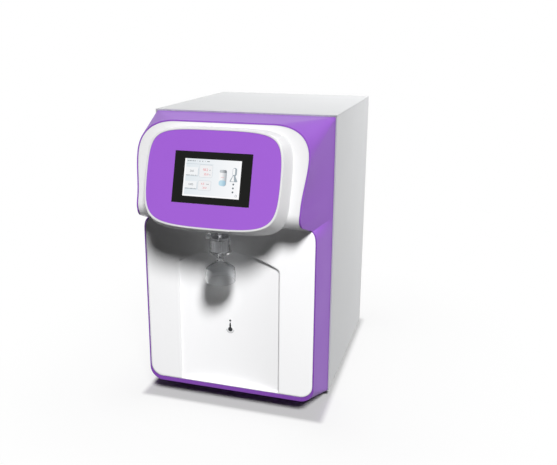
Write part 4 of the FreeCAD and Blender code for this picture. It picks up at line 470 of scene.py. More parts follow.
def stove_enamel(name, colour):
    """Brushed-on black enamel of the motors."""
    graph = new_graph(name)
    peel = graph.noise(mm(2.2), 2)
    return graph.surface({
        "Base Color": graph.tinted(graph.noise(mm(20), 3), colour, 0.85, 1.2),
        "Roughness": 0.28 + peel * 0.14,
        "Normal": graph.bump(peel, mm(0.06), graph.edge(mm(0.5))),
    })


def screen_mask(name, colour):
    """Black ink behind a thin hard-coated sheet."""
    graph = new_graph(name)
    smear = graph.noise(mm(18), 4)
    return graph.surface({
        "Base Color": graph.tinted(smear, colour, 0.9, 1.1),
        "Roughness": 0.2 + smear * 0.1,
        "Specular IOR Level": 0.12,
        "Normal": graph.edge(mm(0.25)),
    })


def lit_ground(name, colour):
    """Lit display: even ground, a little cooler at the left, in fine rows of cells."""
    graph = new_graph(name)
    across = graph.along((1, 0, 0)) / mm(GLASS_W_MM) + 0.5
    tone = graph.mix(across, colour, linear(248, 248, 250))
    rows = graph.maths("SINE", graph.along(tuple(FACE_UP)) * (2 * pi / mm(0.36)))
    cells = graph.mix(rows * 0.5 + 0.5, (0.97, 0.97, 0.97), (1, 1, 1))
    return graph.glow(graph.mix(1.0, tone, cells, "MULTIPLY"))


def lit_ink(name, colour, far=None, share=None):
    """Colour shown on the lit display, or a change from it to a far colour."""
    graph = new_graph(name)
    near = shade(colour, 0.97)
    if far is None:
        return graph.glow(graph.mix(graph.noise(mm(3), 1), near, colour))
    return graph.glow(graph.mix(share(graph), near, far))


def printed_ink(name, colour):
    """Screen-printed ink, slightly uneven in tone."""
    graph = new_graph(name)
    speck = graph.noise(mm(0.5), 3)
    return graph.surface({
        "Base Color": graph.tinted(speck, colour, 0.85, 1.15),
        "Roughness": 0.45 + speck * 0.1,
        "Normal": graph.bump(speck, mm(0.01)),
    })


def circuit_board(name, face_way, face_at):
    """Green solder mask with tracks; what stands off the board is dark or pale by block."""
    graph = new_graph(name)
    turned = graph.value("VectorRotate", {"rotation_type": "EULER_XYZ"},
                         {"Vector": graph.place(), "Rotation": (0, pi / 2, 0)})
    track = graph.value("TexBrick", {"offset": 0.3, "squash": 0.7}, {
        "Vector": turned, "Scale": 1 / mm(9), "Mortar Size": 0.03,
        "Color1": (0.012, 0.11, 0.05), "Color2": (0.015, 0.14, 0.06), "Mortar": (0.03, 0.24, 0.11)})
    pale = graph.ramp(graph.cells(mm(30)), (0.45, 0), (0.55, 1))
    parts = graph.mix(pale, (0.02, 0.02, 0.022), (0.5, 0.5, 0.48))
    stands = graph.maths("GREATER_THAN", graph.along(face_way), face_at)
    return graph.surface({
        "Base Color": graph.mix(stands, track, parts),
        "Roughness": 0.32 + graph.noise(mm(2), 2) * 0.1,
        "Normal": graph.bump(graph.noise(mm(0.8), 2), mm(0.02), graph.edge(mm(0.3))),
    })


# ---- meshes ----

class Batch:
    """Points and faces gathered from several shapes, which become one piece."""

    def __init__(self):
        self.points = []
        self.faces = []

    def add(self, points, faces):
        first = len(self.points)
        self.points += [tuple(point) for point in points]
        self.faces += [[first + index for index in face] for face in faces]

    def skin(self, rings, closed=()):
        """Walls from each ring of points to the next; closed numbers the rings that get a face."""
        count = len(rings[0])
        faces = [(row + k, row + (k + 1) % count, row + count + (k + 1) % count, row + count + k)
                 for row in range(0, count * (len(rings) - 1), count) for k in range(count)]
        for number in closed:
            cap = tuple(range(count * number, count * (number + 1)))
            faces.append(cap if number else cap[::-1])
        self.add([point for ring in rings for point in ring], faces)

    def plate(self, outline, place, low, high):
        """Flat or bent plate: an outline taken through place(u, v, lift) at two lifts."""
        self.skin([[place(u, v, lift) for u, v in outline] for lift in (low, high)], (0, 1))

    def ring(self, outer, inner, place, low, high):
        """Plate between two outlines with as many points each."""
        turns = ((outer, low), (inner, low), (inner, high), (outer, high), (outer, low))
        self.skin([[place(u, v, lift) for u, v in line] for line, lift in turns])

    def figures(self, text, size, place, at, low, high):
        """Numbers of a plain face, centred on a point of the plate."""
        curve = bpy.data.curves.new("figures", "FONT")
        curve.body = text
        curve.size = size
        curve.align_x = "CENTER"
        curve.align_y = "CENTER"
        curve.resolution_u = 3
        curve.extrude = (high - low) / 2
        writing = bpy.data.objects.new("figures", curve)
        bpy.context.scene.collection.objects.link(writing)
        bpy.context.view_layer.update()
        solved = writing.evaluated_get(bpy.context.evaluated_depsgraph_get())
        mesh = bpy.data.meshes.new_from_object(solved)
        lift = (low + high) / 2
        self.add([place(at[0] + p.co.x, at[1] + p.co.y, lift + p.co.z) for p in mesh.vertices],
                 [tuple(face.vertices) for face in mesh.polygons])
        bpy.data.objects.remove(writing)
        bpy.data.curves.remove(curve)
        bpy.data.meshes.remove(mesh)

    def piece(self, name, material, body, slot, smooth=35):
        """One object from what was gathered, riding on a body."""
        mesh = bpy.data.meshes.new(name)
        mesh.from_pydata(self.points, [], self.faces)
        shell = bmesh.new()
        shell.from_mesh(mesh)
        bmesh.ops.remove_doubles(shell, verts=shell.verts, dist=1e-7)
        bmesh.ops.recalc_face_normals(shell, faces=shell.faces)
        shell.to_mesh(mesh)
        shell.free()
        mesh.materials.append(material)
        made = bpy.data.objects.new(name, mesh)
        bpy.context.scene.collection.objects.link(made)
        mesh.shade_smooth()
        mesh.set_sharp_from_angle(angle=radians(smooth))
        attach(made, body)
        return made


def arc(radius, start, end, at=(0, 0), steps=24):
    """Points of an arc about a point, with both its ends."""
    turns = [start + (end - start) * k / steps for k in range(steps + 1)]
    return [(at[0] + radius * cos(turn), at[1] + radius * sin(turn)) for turn in turns]


def circle(radius, at=(0, 0), steps=32):
    return arc(radius, 0, 2 * pi, at, steps)[:-1]


def rounded(width, height, corner, at=(0, 0), steps=5):
    """Outline of a rectangle with round corners about a point."""
    outline = []
    for k, (side, top) in enumerate(((1, 1), (-1, 1), (-1, -1), (1, -1))):
        centre = (at[0] + side * (width / 2 - corner), at[1] + top * (height / 2 - corner))
        outline += arc(corner, k * pi / 2, (k + 1) * pi / 2, centre, steps)
    return outline


def finish(material, *nodes):
    """Gives frame nodes a material through their own slots."""
    for node in nodes:
        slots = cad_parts[node].material_slots
        if not slots:
            raise RuntimeError(f"{node} has no material slot")
        for slot in slots:
            slot.material = material


def groups_of(node, reach):
    """Boxes of a node's separate solids that stand apart by more than reach in X and Z."""
    groups = []
    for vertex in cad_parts[node].data.vertices:
        place = vertex.co
        for group in groups:
            if abs(group[0].x - place.x) < reach and abs(group[0].z - place.z) < reach:
                group.append(place)
                break
        else:
            groups.append([place])
    return [(Vector(map(min, *group)), Vector(map(max, *group))) for group in groups]


# ---- operators ----

class PieceOperator:
    """What the operators of pieces share."""
    bl_options = {"REGISTER", "UNDO"}

    def execute(self, context):
        self.make(context.scene.water_colours, context.scene.water_sizes)
        return {"FINISHED"}


class WATER_OT_case(PieceOperator, bpy.types.Operator):
    """Powder coats the sheet steel case and plates its inner sheet"""
    bl_idname = "water.case"
    bl_label = "Case"

    def make(self, colours, sizes):
        coat = powder_coat("case_powder_coat", colours.case, sizes.peel, sizes.case_edge)
        finish(coat, "base_tray", "top_cover", "left_panel", "rear_panel", "service_door")
        finish(zinc_sheet("zinc_plated_sheet", (0.62, 0.63, 0.65)), "front_frame",
               "cartridge_bracket", "pump_cradle", "lamp_clips", "power_supply")
        finish(polished_steel("pin_steel", (0.6, 0.6, 0.62), 0.25), "hinge_pins")
        finish(plain_moulding("catch_moulding", (0.8, 0.8, 0.78)), "magnet_catches")
        finish(black_rubber("foot_rubber"), "rubber_feet", "pump_mounts")


class WATER_OT_front(PieceOperator, bpy.types.Operator):
    """Finishes the purple bezel, the white front mouldings and the pod"""
    bl_idname = "water.front"
    bl_label = "Front mouldings"

    def make(self, colours, sizes):
        edge = sizes.moulding_edge
        finish(gloss_moulding("bezel_moulding", colours.bezel, edge, 0.34, 0.0, 0.16), "front_bezel")
        finish(gloss_moulding("white_moulding", colours.moulding, edge), "head_surround", "display_pod")
        finish(gloss_moulding("panel_moulding", colours.moulding, sizes.panel_edge, 0.26, 0.05, 0.16),
               "lower_panel")
        finish(printed_film("pod_film", colours.film, sizes.grain), "pod_overlay")


class WATER_OT_screen(PieceOperator, bpy.types.Operator):
    """Lights the display and draws its tiles, readings, tank sign and tap sign"""
    bl_idname = "water.screen"
    bl_label = "Touch screen"

    BOARD_BACK_MM = 15.9       # board's back face behind the middle of the screen frame

    # Tops of the shapes over the lit face; marks and figures start over it too
    EDGE_TOP = 0.02
    TILE_TOP = 0.025
    SHADOW_TOP = 0.03
    SIGN_TOP = 0.05
    BUTTON_TOP = 0.06
    LIGHT_TOP = 0.07
    MARK_TOP = 0.1
    MARK_FOOT = 0.06
    FIGURE_FOOT = 0.08

    # Shapes: width, height, corner and middle, from the middle of the lit face
    EDGES = ((2.4, GLASS_H_MM, 0.05, (1.2 - GLASS_W_MM / 2, 0)),
             (3.0, GLASS_H_MM, 0.05, (GLASS_W_MM / 2 - 1.5, 0)),
             (GLASS_W_MM, 2.2, 0.05, (0, 1.1 - GLASS_H_MM / 2)))
    BUTTONS = ((20.5, 13.0, 1.4, (-33.5, 9.2)), (20.5, 11.5, 1.4, (-33.8, -11.6)))
    SHADOW_SHIFT = (0.7, -0.8)
    TILES = ((21.0, 18.5, 1.6, (-10.4, 10.4)), (20.5, 14.5, 1.6, (-11.0, -11.6)))
    TILE_RIM = (0.7, 0.3)      # how much wider and rounder than its tile the line round it is
    RULE = (46.0, 0.5, 0.2, (-22, 20.8))
    TANK = (12.4, 25.0, 4.2, (17.6, 1.6))
    TANK_LID = (11.4, 4.6, 2.2, (17.6, 11.9))
    TANK_WATER = (11.2, 8.6, 3.7, (17.3, -6.0))
    CAPSULE = (7.0, 12.4, 3.2, (36.1, 12.0))
    CAPSULE_LIGHT = (3.6, 9.8, 1.75, (34.9, 12.3))

    # Outlines of the cone under the capsule, and middles of the drops that fall from it
    CONE = ((29.0, -2.4), (30.0, -3.2), (40.4, -3.2), (41.4, -2.2), (37.2, 6.8), (33.4, 6.8))
    CONE_LIGHT = ((30.8, -2.4), (36.2, -2.4), (35.1, 5.8), (33.9, 5.8))
    DROPS = ((35.4, -6.8), (35.3, -12.8), (35.2, -18.8))
    DROP_R = 1.45

    # Numbers: text, height and middle
    READINGS = (("18.2", 5.2, (-11.6, 12.6)), ("25.0", 4.4, (-9.6, 5.6)), ("4.5", 4.4, (-14.0, -9.2)),
                ("25.0", 3.8, (-10.4, -15.0)))
    AMOUNTS = (("250", 4.4, (-33.5, 9.6)), ("1000", 4.4, (-33.8, -11.0)))

    # Marks: width, height and middle; in a row, place across and width
    UNITS = ((2.6, 0.7, (-4.0, 12.4)), (2.2, 0.6, (-3.6, 5.2)), (4.8, 0.6, (-6.0, -9.2)))
    TANK_LINE = (5.2, 0.7, (17.2, 2.8))
    CAPTION = ((-39.5, 6.5), (-32.2, 5.6), (-26.6, 3.4))
    CAPTION_ROWS = (3.4, -17.0)
    CAPTION_H = 0.55
    STATUS = ((-40.6, 3.2), (-36.8, 3.4), (-32.6, 3.2), (-29.4, 2.0), (-25.2, 0.7), (-21.6, 2.0),
              (-17.0, 1.6), (-12.8, 0.6), (-7.6, 4.4))
    STATUS_ROW = 25.4
    STATUS_H = 1.1
    CORNER_SIGN = (41.0, -24.0)
    CORNER_RADII = (1.9, 1.45)
    CORNER_LIFTS = (0.04, 0.08)
    CORNER_MARK = (1.8, 0.6, (41.4, -23.8))

    def make(self, colours, sizes):
        finish(screen_mask("screen_mask", colours.mask), "screen_frame")
        finish(lit_ground("lit_ground", colours.glass), "display_panel")
        back = FACE_MIDDLE.dot(-FACE_OUT) + mm(self.BOARD_BACK_MM)
        finish(circuit_board("display_board_finish", tuple(-FACE_OUT), back), "display_board")
        self.edges()
        self.tiles()
        self.readings(colours.figures, colours.ink)
        self.tank(colours.water)
        self.tap()
        self.small_marks()

    def block(self, batch, shape, top, steps=5):
        """Shape with round corners that stands on the lit face."""
        batch.plate(rounded(*shape, steps), on_glass, 0.0, top)

    def mark(self, batch, width, height, at):
        """Bar that stands for a word, a unit or a sign."""
        corner = min(0.3, height / 2.01)
        batch.plate(rounded(width, height, corner, at, 3), on_glass, self.MARK_FOOT, self.MARK_TOP)

    def figures(self, batch, text, size, at):
        batch.figures(text, size, on_glass, at, self.FIGURE_FOOT, self.MARK_TOP)

    def show(self, batch, name, ink):
        batch.piece(name, ink, "cabinet", "display_glass")

    def edges(self):
        """Bright lines along three sides of the lit face."""
        lines = Batch()
        for shape in self.EDGES:
            self.block(lines, shape, self.EDGE_TOP, 1)
        self.show(lines, "screen_edges", lit_ink("lit_white", linear(252, 252, 253)))

    def tiles(self):
        """Two raised buttons, two framed tiles and the line over them."""
        shadows, faces, raised = Batch(), Batch(), Batch()
        right, down = self.SHADOW_SHIFT
        for button in self.BUTTONS:
            *size, at = button
            self.block(shadows, (*size, (at[0] + right, at[1] + down)), self.SHADOW_TOP)
            self.block(raised, button, self.BUTTON_TOP)
        wider, rounder = self.TILE_RIM
        for tile in self.TILES:
            width, height, corner, at = tile
            rim = rounded(width + wider, height + wider, corner + rounder, at)
            shadows.ring(rim, rounded(*tile), on_glass, 0.0, self.SHADOW_TOP)
            self.block(faces, tile, self.TILE_TOP)
        self.block(shadows, self.RULE, self.SHADOW_TOP, 2)
        self.show(shadows, "screen_tile_shadows", lit_ink("lit_shadow", linear(186, 198, 206)))
        self.show(faces, "screen_readout_tiles", lit_ink("lit_tile", linear(238, 238, 240)))
        self.show(raised, "screen_buttons", lit_ink("lit_button", linear(240, 242, 244)))

    def readings(self, red, ink):
        """Readings on the tiles, amounts on the buttons, and the marks beside and under them."""
        reds, inks = Batch(), Batch()
        for reading in self.READINGS:
            self.figures(reds, *reading)
        for unit in self.UNITS:
            self.mark(inks, *unit)
        for amount in self.AMOUNTS:
            self.figures(inks, *amount)
        for up in self.CAPTION_ROWS:
            for across, width in self.CAPTION:
                self.mark(inks, width, self.CAPTION_H, (across, up))
        self.show(reds, "screen_readings", lit_ink("lit_red", red))
        self.show(inks, "screen_button_marks", lit_ink("lit_ink", ink))

    def tank(self, blue):
        """Sign of the storage tank: shaded shell, dark lid and blue water."""
        width, _, _, at = self.TANK

        def from_left(graph):
            left = FACE_MIDDLE.x + mm(at[0] - width / 2)
            return graph.ramp((graph.along((1, 0, 0)) - left) / mm(width), (0.35, 0), (1.0, 1))
        shell, lid, water, line = Batch(), Batch(), Batch(), Batch()
        self.block(shell, self.TANK, self.SIGN_TOP, 8)
        self.block(lid, self.TANK_LID, self.LIGHT_TOP, 6)
        self.block(water, self.TANK_WATER, self.LIGHT_TOP, 8)
        self.mark(line, *self.TANK_LINE)
        for batch, name, ink, near, far in (
                (shell, "screen_tank", "lit_tank", linear(246, 246, 247), linear(158, 165, 172)),
                (lid, "screen_tank_lid", "lit_lid", linear(196, 200, 204), linear(74, 80, 88)),
                (water, "screen_tank_water", "lit_water", blue, linear(140, 178, 200))):
            self.show(batch, name, lit_ink(ink, near, far, from_left))
        self.show(line, "screen_tank_line", lit_ink("lit_pink", linear(232, 176, 180)))

    def tap(self):
        """Sign of the outlet: capsule, cone and three drops."""
        pale, grey, dots = Batch(), Batch(), Batch()
        self.block(grey, self.CAPSULE, self.SIGN_TOP, 7)
        self.block(pale, self.CAPSULE_LIGHT, self.LIGHT_TOP, 7)
        grey.plate(self.CONE, on_glass, 0.0, self.SIGN_TOP)
        pale.plate(self.CONE_LIGHT, on_glass, 0.0, self.LIGHT_TOP)
        for at in self.DROPS:
            dots.plate(circle(self.DROP_R, at, 20), on_glass, 0.0, self.LIGHT_TOP)
        self.show(grey, "screen_outlet_sign", lit_ink("lit_grey", linear(158, 168, 176)))
        self.show(pale, "screen_outlet_light", lit_ink("lit_pale", linear(246, 247, 248)))
        self.show(dots, "screen_outlet_drops", lit_ink("lit_drop", linear(104, 112, 118)))

    def small_marks(self):
        """Row of status marks along the top and the corner sign."""
        marks = Batch()
        for across, width in self.STATUS:
            self.mark(marks, width, self.STATUS_H, (across, self.STATUS_ROW))
        outer, inner = (circle(radius, self.CORNER_SIGN, 20) for radius in self.CORNER_RADII)
        marks.ring(outer, inner, on_glass, *self.CORNER_LIFTS)
        self.mark(marks, *self.CORNER_MARK)
        self.show(marks, "screen_status_marks", lit_ink("lit_status", linear(140, 146, 152)))


class WATER_OT_drop_mark(PieceOperator, bpy.types.Operator):
    """Prints the drop that shows where the water falls"""
    bl_idname = "water.drop_mark"
    bl_label = "Drop mark"

    FOOT = 0.336               # foot of the mark as a share of the lower panel's height
    BULB_R = 0.17              # bulb's radius, and middles of bulb and dot over the foot, as
    BULB_UP = 0.24             # shares of the mark's height
    DOT_UP = 0.92
    DOT_R = 0.46               # the rest is in radii of the bulb, from its middle
    NECK = ((-0.42, 1.6), (-0.28, 2.3), (-0.2, 3.1), (0.2, 3.1), (0.28, 2.3), (0.42, 1.6))
    RINGS = ((1.3, 0.16), (1.65, 0.14))      # inner radius and width
    HALF_BULB = 0.78 * pi      # half the turn of the bulb's arc

    def make(self, colours, sizes):
        low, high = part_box("lower_panel")
        foot = low.z + (high.z - low.z) * self.FOOT
        height = sizes.drop_height

        def on_recess(u, v, lift):
            start = Vector((u, low.y - mm(RAY_MM), foot + v))
            return hit("lower_panel", start, Vector((0, 1, 0))) - Vector((0, lift, 0))
        drop, ring = Batch(), Batch()
        bulb = height * self.BULB_R
        up = height * self.BULB_UP
        outline = arc(bulb, -pi / 2 - self.HALF_BULB, -pi / 2 + self.HALF_BULB, (0.0, up))
        outline += [(u * bulb, up + v * bulb) for u, v in self.NECK]
        drop.plate(outline, on_recess, 0.0, sizes.ink_height)
        dot = circle(bulb * self.DOT_R, (0.0, height * self.DOT_UP), 20)
        drop.plate(dot, on_recess, 0.0, sizes.ink_height)
        for radius, width in self.RINGS:
            inner, outer = (arc(bulb * r, pi, 2 * pi, (0.0, up)) for r in (radius, radius + width))
            ring.plate(inner + outer[::-1], on_recess, 0.0, sizes.ink_height)
        drop.piece("drop_mark", printed_ink("drop_ink", colours.mark), "cabinet", "white_plastic")
        ring.piece("drop_mark_rings", printed_ink("ring_ink", linear(150, 152, 156)), "cabinet",
                   "white_plastic")


class WATER_OT_filter(PieceOperator, bpy.types.Operator):
    """Finishes the capsule filter, its vent knob and the outlet fitting"""
    bl_idname = "water.filter"
    bl_label = "Capsule filter"

    def make(self, colours, sizes):
        finish(clear_moulding("clear_bell", (0.83, 0.84, 0.85), 0.02, 1.2), "filter_bell")
        finish(clear_moulding("clear_grip", (0.68, 0.69, 0.71), 0.1, 0.4, 1.5, 0.5), "filter_grip",
               "filter_cap")
        finish(filter_paper("membrane_paper", (0.62, 0.62, 0.62)), "filter_membrane")
        finish(clear_moulding("clear_vent", (0.85, 0.86, 0.87), 0.06, 0.3, 1.5, 0.5), "vent_knob")
        finish(plain_moulding("fitting_moulding", (0.5, 0.51, 0.53)), "outlet_fitting")


class WATER_OT_cartridges(PieceOperator, bpy.types.Operator):
    """Finishes the three cartridges and their heads, and adds numbered bands"""
    bl_idname = "water.cartridges"
    bl_label = "Cartridges"

    NAMES = ("pretreatment", "osmosis", "polishing")
    BAND_LIFT_MM = 0.12
    BAND_AT = 0.55             # band's middle as a share of the cartridge's height
    BAND_STEPS = 72
    FIGURE_SHARE = 0.62        # number's height as a share of the band's
    FIGURE_LIFT = 1.8          # number's top in lifts of the band
    COPIES = 3                 # how often the number stands round the cartridge

    def make(self, colours, sizes):
        finish(plain_moulding("head_moulding", (0.035, 0.06, 0.14), 0.42),
               *[name + "_head" for name in self.NAMES])
        shell = gloss_moulding("cartridge_shell", (0.84, 0.84, 0.83), mm(0.5), 0.28, 0.1)
        band_ink = printed_film("band_film", colours.bands, sizes.grain)
        figure_ink = printed_ink("band_figures", (0.86, 0.86, 0.87))
        for number, name in enumerate(self.NAMES, 1):
            finish(shell, name + "_cartridge")
            self.band(name, number, sizes.band_height, band_ink, figure_ink)

    def band(self, body, number, height, band_ink, figure_ink):
        """Printed sleeve round a cartridge, with its number."""
        node = body + "_cartridge"
        low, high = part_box(node)
        centre = (low + high) / 2
        level = low.z + (high.z - low.z) * self.BAND_AT
        start = Vector((low.x - mm(RAY_MM), centre.y, level))
        skin = abs(hit(node, start, Vector((1, 0, 0))).x - centre.x)
        girth = 2 * pi * skin
        lift = mm(self.BAND_LIFT_MM)
        half = height / 2

        def wrapped(u, v, out):
            radius, angle = skin + out, u / skin
            return Vector((centre.x + radius * cos(angle), centre.y + radius * sin(angle), level + v))
        sleeve, figures = Batch(), Batch()
        sleeve.skin([[wrapped(girth * k / self.BAND_STEPS, v, out) for k in range(self.BAND_STEPS)]
                     for out, v in ((0.0, -half), (lift, lift - half), (lift, half - lift), (0.0, half))])
        for copy in range(self.COPIES):
            figures.figures(str(number), height * self.FIGURE_SHARE, wrapped,
                            (girth * copy / self.COPIES, 0.0), lift, lift * self.FIGURE_LIFT)
        sleeve.piece(body + "_band", band_ink, body, "cartridge_plastic")
        figures.piece(body + "_number", figure_ink, body, "cartridge_plastic")


class WATER_OT_water_works(PieceOperator, bpy.types.Operator):
    """Finishes the pumps, lamp chamber, valves and tubes"""
    bl_idname = "water.water_works"
    bl_label = "Pumps, lamp and tubes"

    def make(self, colours, sizes):
        finish(stove_enamel("motor_enamel", (0.022, 0.023, 0.026)), "booster_pump_motor",
               "circulation_pump")
        finish(plain_moulding("pump_moulding", (0.03, 0.031, 0.034), 0.45), "booster_pump_head")
        finish(polished_steel("lamp_steel", (0.72, 0.73, 0.74), 0.12), "lamp_chamber")
        finish(plain_moulding("lamp_cap_moulding", (0.05, 0.052, 0.056)), "lamp_caps")
        finish(plain_moulding("valve_moulding", (0.72, 0.72, 0.7), 0.4), "valve_bodies")
        finish(plain_moulding("coil_moulding", (0.018, 0.018, 0.02), 0.36), "valve_coils")
        finish(cloudy_moulding("natural_tube", (0.82, 0.85, 0.87)), "tube_feed", "tube_pressure",
               "cartridge_links", "tube_polished", "tube_lamp", "tube_outlet")


class WATER_OT_rear(PieceOperator, bpy.types.Operator):
    """Finishes the rear fittings and adds contact pins, switch signs and port numbers"""
    bl_idname = "water.rear"
    bl_label = "Rear fittings"

    BOARD_FACE_MM = 8.7        # board's face inward from the right side of its node
    PIN_PLACES_MM = ((-7.0, 7.5), (0.0, 11.0), (7.0, 7.5))   # from the middle of the inlet
    PIN_W_MM = 2.12
    PIN_H_MM = 4.12
    PIN_FROM_MM = -14.4        # root and tip of a pin from the inlet's face
    PIN_TO_MM = -5.8
    PIN_TIP_MM = 0.8           # length of the tapered tip, and how much slimmer its end is
    PIN_TAPER_MM = 0.6
    SIGN_LINE_MM = (0.7, 4.0, 0.3)           # width, height and corner
    SIGN_RING_MM = (2.0, 1.35)               # radii
    SIGN_LIFT_MM = 0.08
    NUMBER_OVER_MM = 21.0

    def make(self, colours, sizes):
        black = plain_moulding("inlet_moulding", (0.02, 0.02, 0.022), 0.4, 0.5)
        finish(black, "mains_inlet", "fuse_drawer", "switch_frame")
        finish(gloss_moulding("rocker_moulding", (0.018, 0.018, 0.02), mm(0.5), 0.3, 0.2), "rocker_switch")
        finish(plain_moulding("port_moulding", (0.55, 0.56, 0.58), 0.42), "port_bodies", "port_nuts")
        finish(plain_moulding("blue_collet", (0.02, 0.09, 0.4), 0.35), "feed_collet")
        finish(plain_moulding("grey_collet", (0.2, 0.21, 0.23), 0.35), "drain_collet", "tank_collet",
               "recirculation_collet")
        face = mm(self.BOARD_FACE_MM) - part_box("main_board")[1].x
        finish(circuit_board("main_board_finish", (-1, 0, 0), face), "main_board")
        self.pins()
        self.switch_signs()
        self.port_numbers(sizes)

    def pins(self):
        """Plated contacts over the inlet's moulded pins."""
        centre = rear_middle(*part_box("mains_inlet"))
        ends = ((self.PIN_FROM_MM, 0.0), (self.PIN_TO_MM - self.PIN_TIP_MM, 0.0),
                (self.PIN_TO_MM, self.PIN_TAPER_MM))
        pins = Batch()
        for at in self.PIN_PLACES_MM:
            rings = []
            for out, taper in ends:
                outline = rounded(self.PIN_W_MM - taper, self.PIN_H_MM - taper, 0.5, at, 3)
                rings.append([centre + Vector((mm(u), mm(out), mm(v))) for u, v in outline])
            pins.skin(rings, (0, 2))
        pins.piece("inlet_pins", polished_steel("contact_plating", (0.72, 0.7, 0.66), 0.2), "cabinet",
                   "screw_steel")

    def switch_signs(self):
        """Line and circle on the two flats of the rocker."""
        low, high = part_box("rocker_switch")
        centre = (low + high) / 2
        quarter = (high.z - low.z) / 4

        def on_rocker(level):
            def place(u, v, lift):
                start = Vector((centre.x - u, high.y + mm(RAY_MM), level + v))
                return hit("rocker_switch", start, Vector((0, -1, 0))) + Vector((0, lift, 0))
            return place
        signs = Batch()
        lift = mm(self.SIGN_LIFT_MM)
        line = rounded(*map(mm, self.SIGN_LINE_MM), steps=3)
        signs.plate(line, on_rocker(centre.z - quarter), 0.0, lift)
        outer, inner = (circle(mm(radius)) for radius in self.SIGN_RING_MM)
        signs.ring(outer, inner, on_rocker(centre.z + quarter), 0.0, lift)
        signs.piece("switch_signs", printed_ink("switch_ink", (0.8, 0.8, 0.8)), "rocker", "black_plastic")

    def port_numbers(self, sizes):
        """Plain numbers over the four ports."""
        figures = Batch()
        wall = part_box("rear_panel")[1].y
        for number, name in enumerate(("feed", "drain", "tank", "recirculation"), 1):
            port = middle(name + "_collet")

            def on_wall(u, v, lift, port=port):
                return Vector((port.x - u, wall + lift, port.z + mm(self.NUMBER_OVER_MM) + v))
            figures.figures(str(number), sizes.port_figures, on_wall, (0.0, 0.0), 0.0, sizes.ink_height)
        figures.piece("port_numbers", printed_ink("number_ink", (0.08, 0.085, 0.095)), "cabinet",
                      "case_paint")


class WATER_OT_screws(PieceOperator, bpy.types.Operator):
    """Makes the pan head screws with their cross recesses"""
    bl_idname = "water.screws"
    bl_label = "Screws"

    APART_MM = 12.0            # least distance from one screw to the next
    HEAD_R_MM = 3.6
    HEAD_H_MM = 2.2
    FLAT_R_MM = 2.35           # flat top of the head
    # Radius of the head, and depth under its top as a share of its height
    CROWN = ((HEAD_R_MM, 1.0), (HEAD_R_MM, 0.62), (3.25, 0.24), (2.85, 0.08), (FLAT_R_MM, 0.0))
    CROSS_LONG_MM = 2.0
    CROSS_WIDE_MM = 0.55
    CROSS_DEEP_MM = 1.3
    CROSS_FLOOR = 0.7          # size of the pit's floor as a share of its mouth
    SHANK_R_MM = 1.6
    ROOT = 0.86                # radius between threads, and of the blunt end, as shares of the
    BLUNT = 0.6                # shank's
    END_R_MM = 0.1             # small hole that the blunt end's rings leave at its middle
    PITCH_MM = 0.8

    def make(self, colours, sizes):
        steel = polished_steel("screw_plating", (0.6, 0.61, 0.63), 0.24, (1, 0.2, 1))
        finish(steel, "foot_screws")
        batch = Batch()
        for low, high in groups_of("pan_screws", mm(self.APART_MM)):
            self.screw(batch, rear_middle(low, high), high.y - low.y)
        heads = batch.piece("pan_screws_detailed", steel, "cabinet", "screw_steel", 30)
        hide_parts("pan_screws")

    def screw(self, batch, top, length):
        """One screw that faces back: crowned head with a cross recess, then its shank."""
        def at(u, v, out):
            return top + Vector((u, out, v))

        def turned(profile, steps):
            batch.skin([[at(u, v, out) for u, v in circle(radius, steps=steps)]
                        for radius, out in profile])
        height, shank, pitch = mm(self.HEAD_H_MM), mm(self.SHANK_R_MM), mm(self.PITCH_MM)
        turned([(mm(radius), -height * depth) for radius, depth in self.CROWN], 32)
        self.cross(batch, at, 32)
        ridges = [(mm(self.HEAD_R_MM), -height)]
        for turn in range(int((length - height) / pitch)):
            ridges.append((shank * self.ROOT, -height - pitch * turn))
            ridges.append((shank, -height - pitch * (turn + 0.5)))
        turned(ridges + [(shank * self.BLUNT, -length), (mm(self.END_R_MM), -length)], 16)

    def cross(self, batch, at, steps):
        """Flat top of the head round a cross-shaped pit."""
        long, wide = mm(self.CROSS_LONG_MM), mm(self.CROSS_WIDE_MM)
        plus = []
        for quarter in range(4):
            turn = quarter * pi / 2
            for u, v in ((long, -wide), (long, wide), (wide, wide)):
                plus.append((u * cos(turn) - v * sin(turn), u * sin(turn) + v * cos(turn)))
        shell = bmesh.new()
        edges = []
        for line in (circle(mm(self.FLAT_R_MM), steps=steps), plus):
            verts = [shell.verts.new((u, v, 0)) for u, v in line]
            edges += [shell.edges.new((verts[k], verts[(k + 1) % len(verts)]))
                      for k in range(len(verts))]
        bmesh.ops.triangle_fill(shell, edges=edges, use_beauty=True)
        shell.verts.index_update()
        inside = []
        for face in shell.faces:
            near, far = sorted(map(abs, face.calc_center_median().xy))
            if far < long and near < wide:
                inside.append(face)
        bmesh.ops.delete(shell, geom=inside, context="FACES_ONLY")
        batch.add([at(v.co.x, v.co.y, 0.0) for v in shell.verts],
                  [[v.index for v in face.verts] for face in shell.faces])
        shell.free()
        floor = [at(u * self.CROSS_FLOOR, v * self.CROSS_FLOOR, -mm(self.CROSS_DEEP_MM)) for u, v in plus]
        batch.skin([[at(u, v, 0.0) for u, v in plus], floor], (1,))


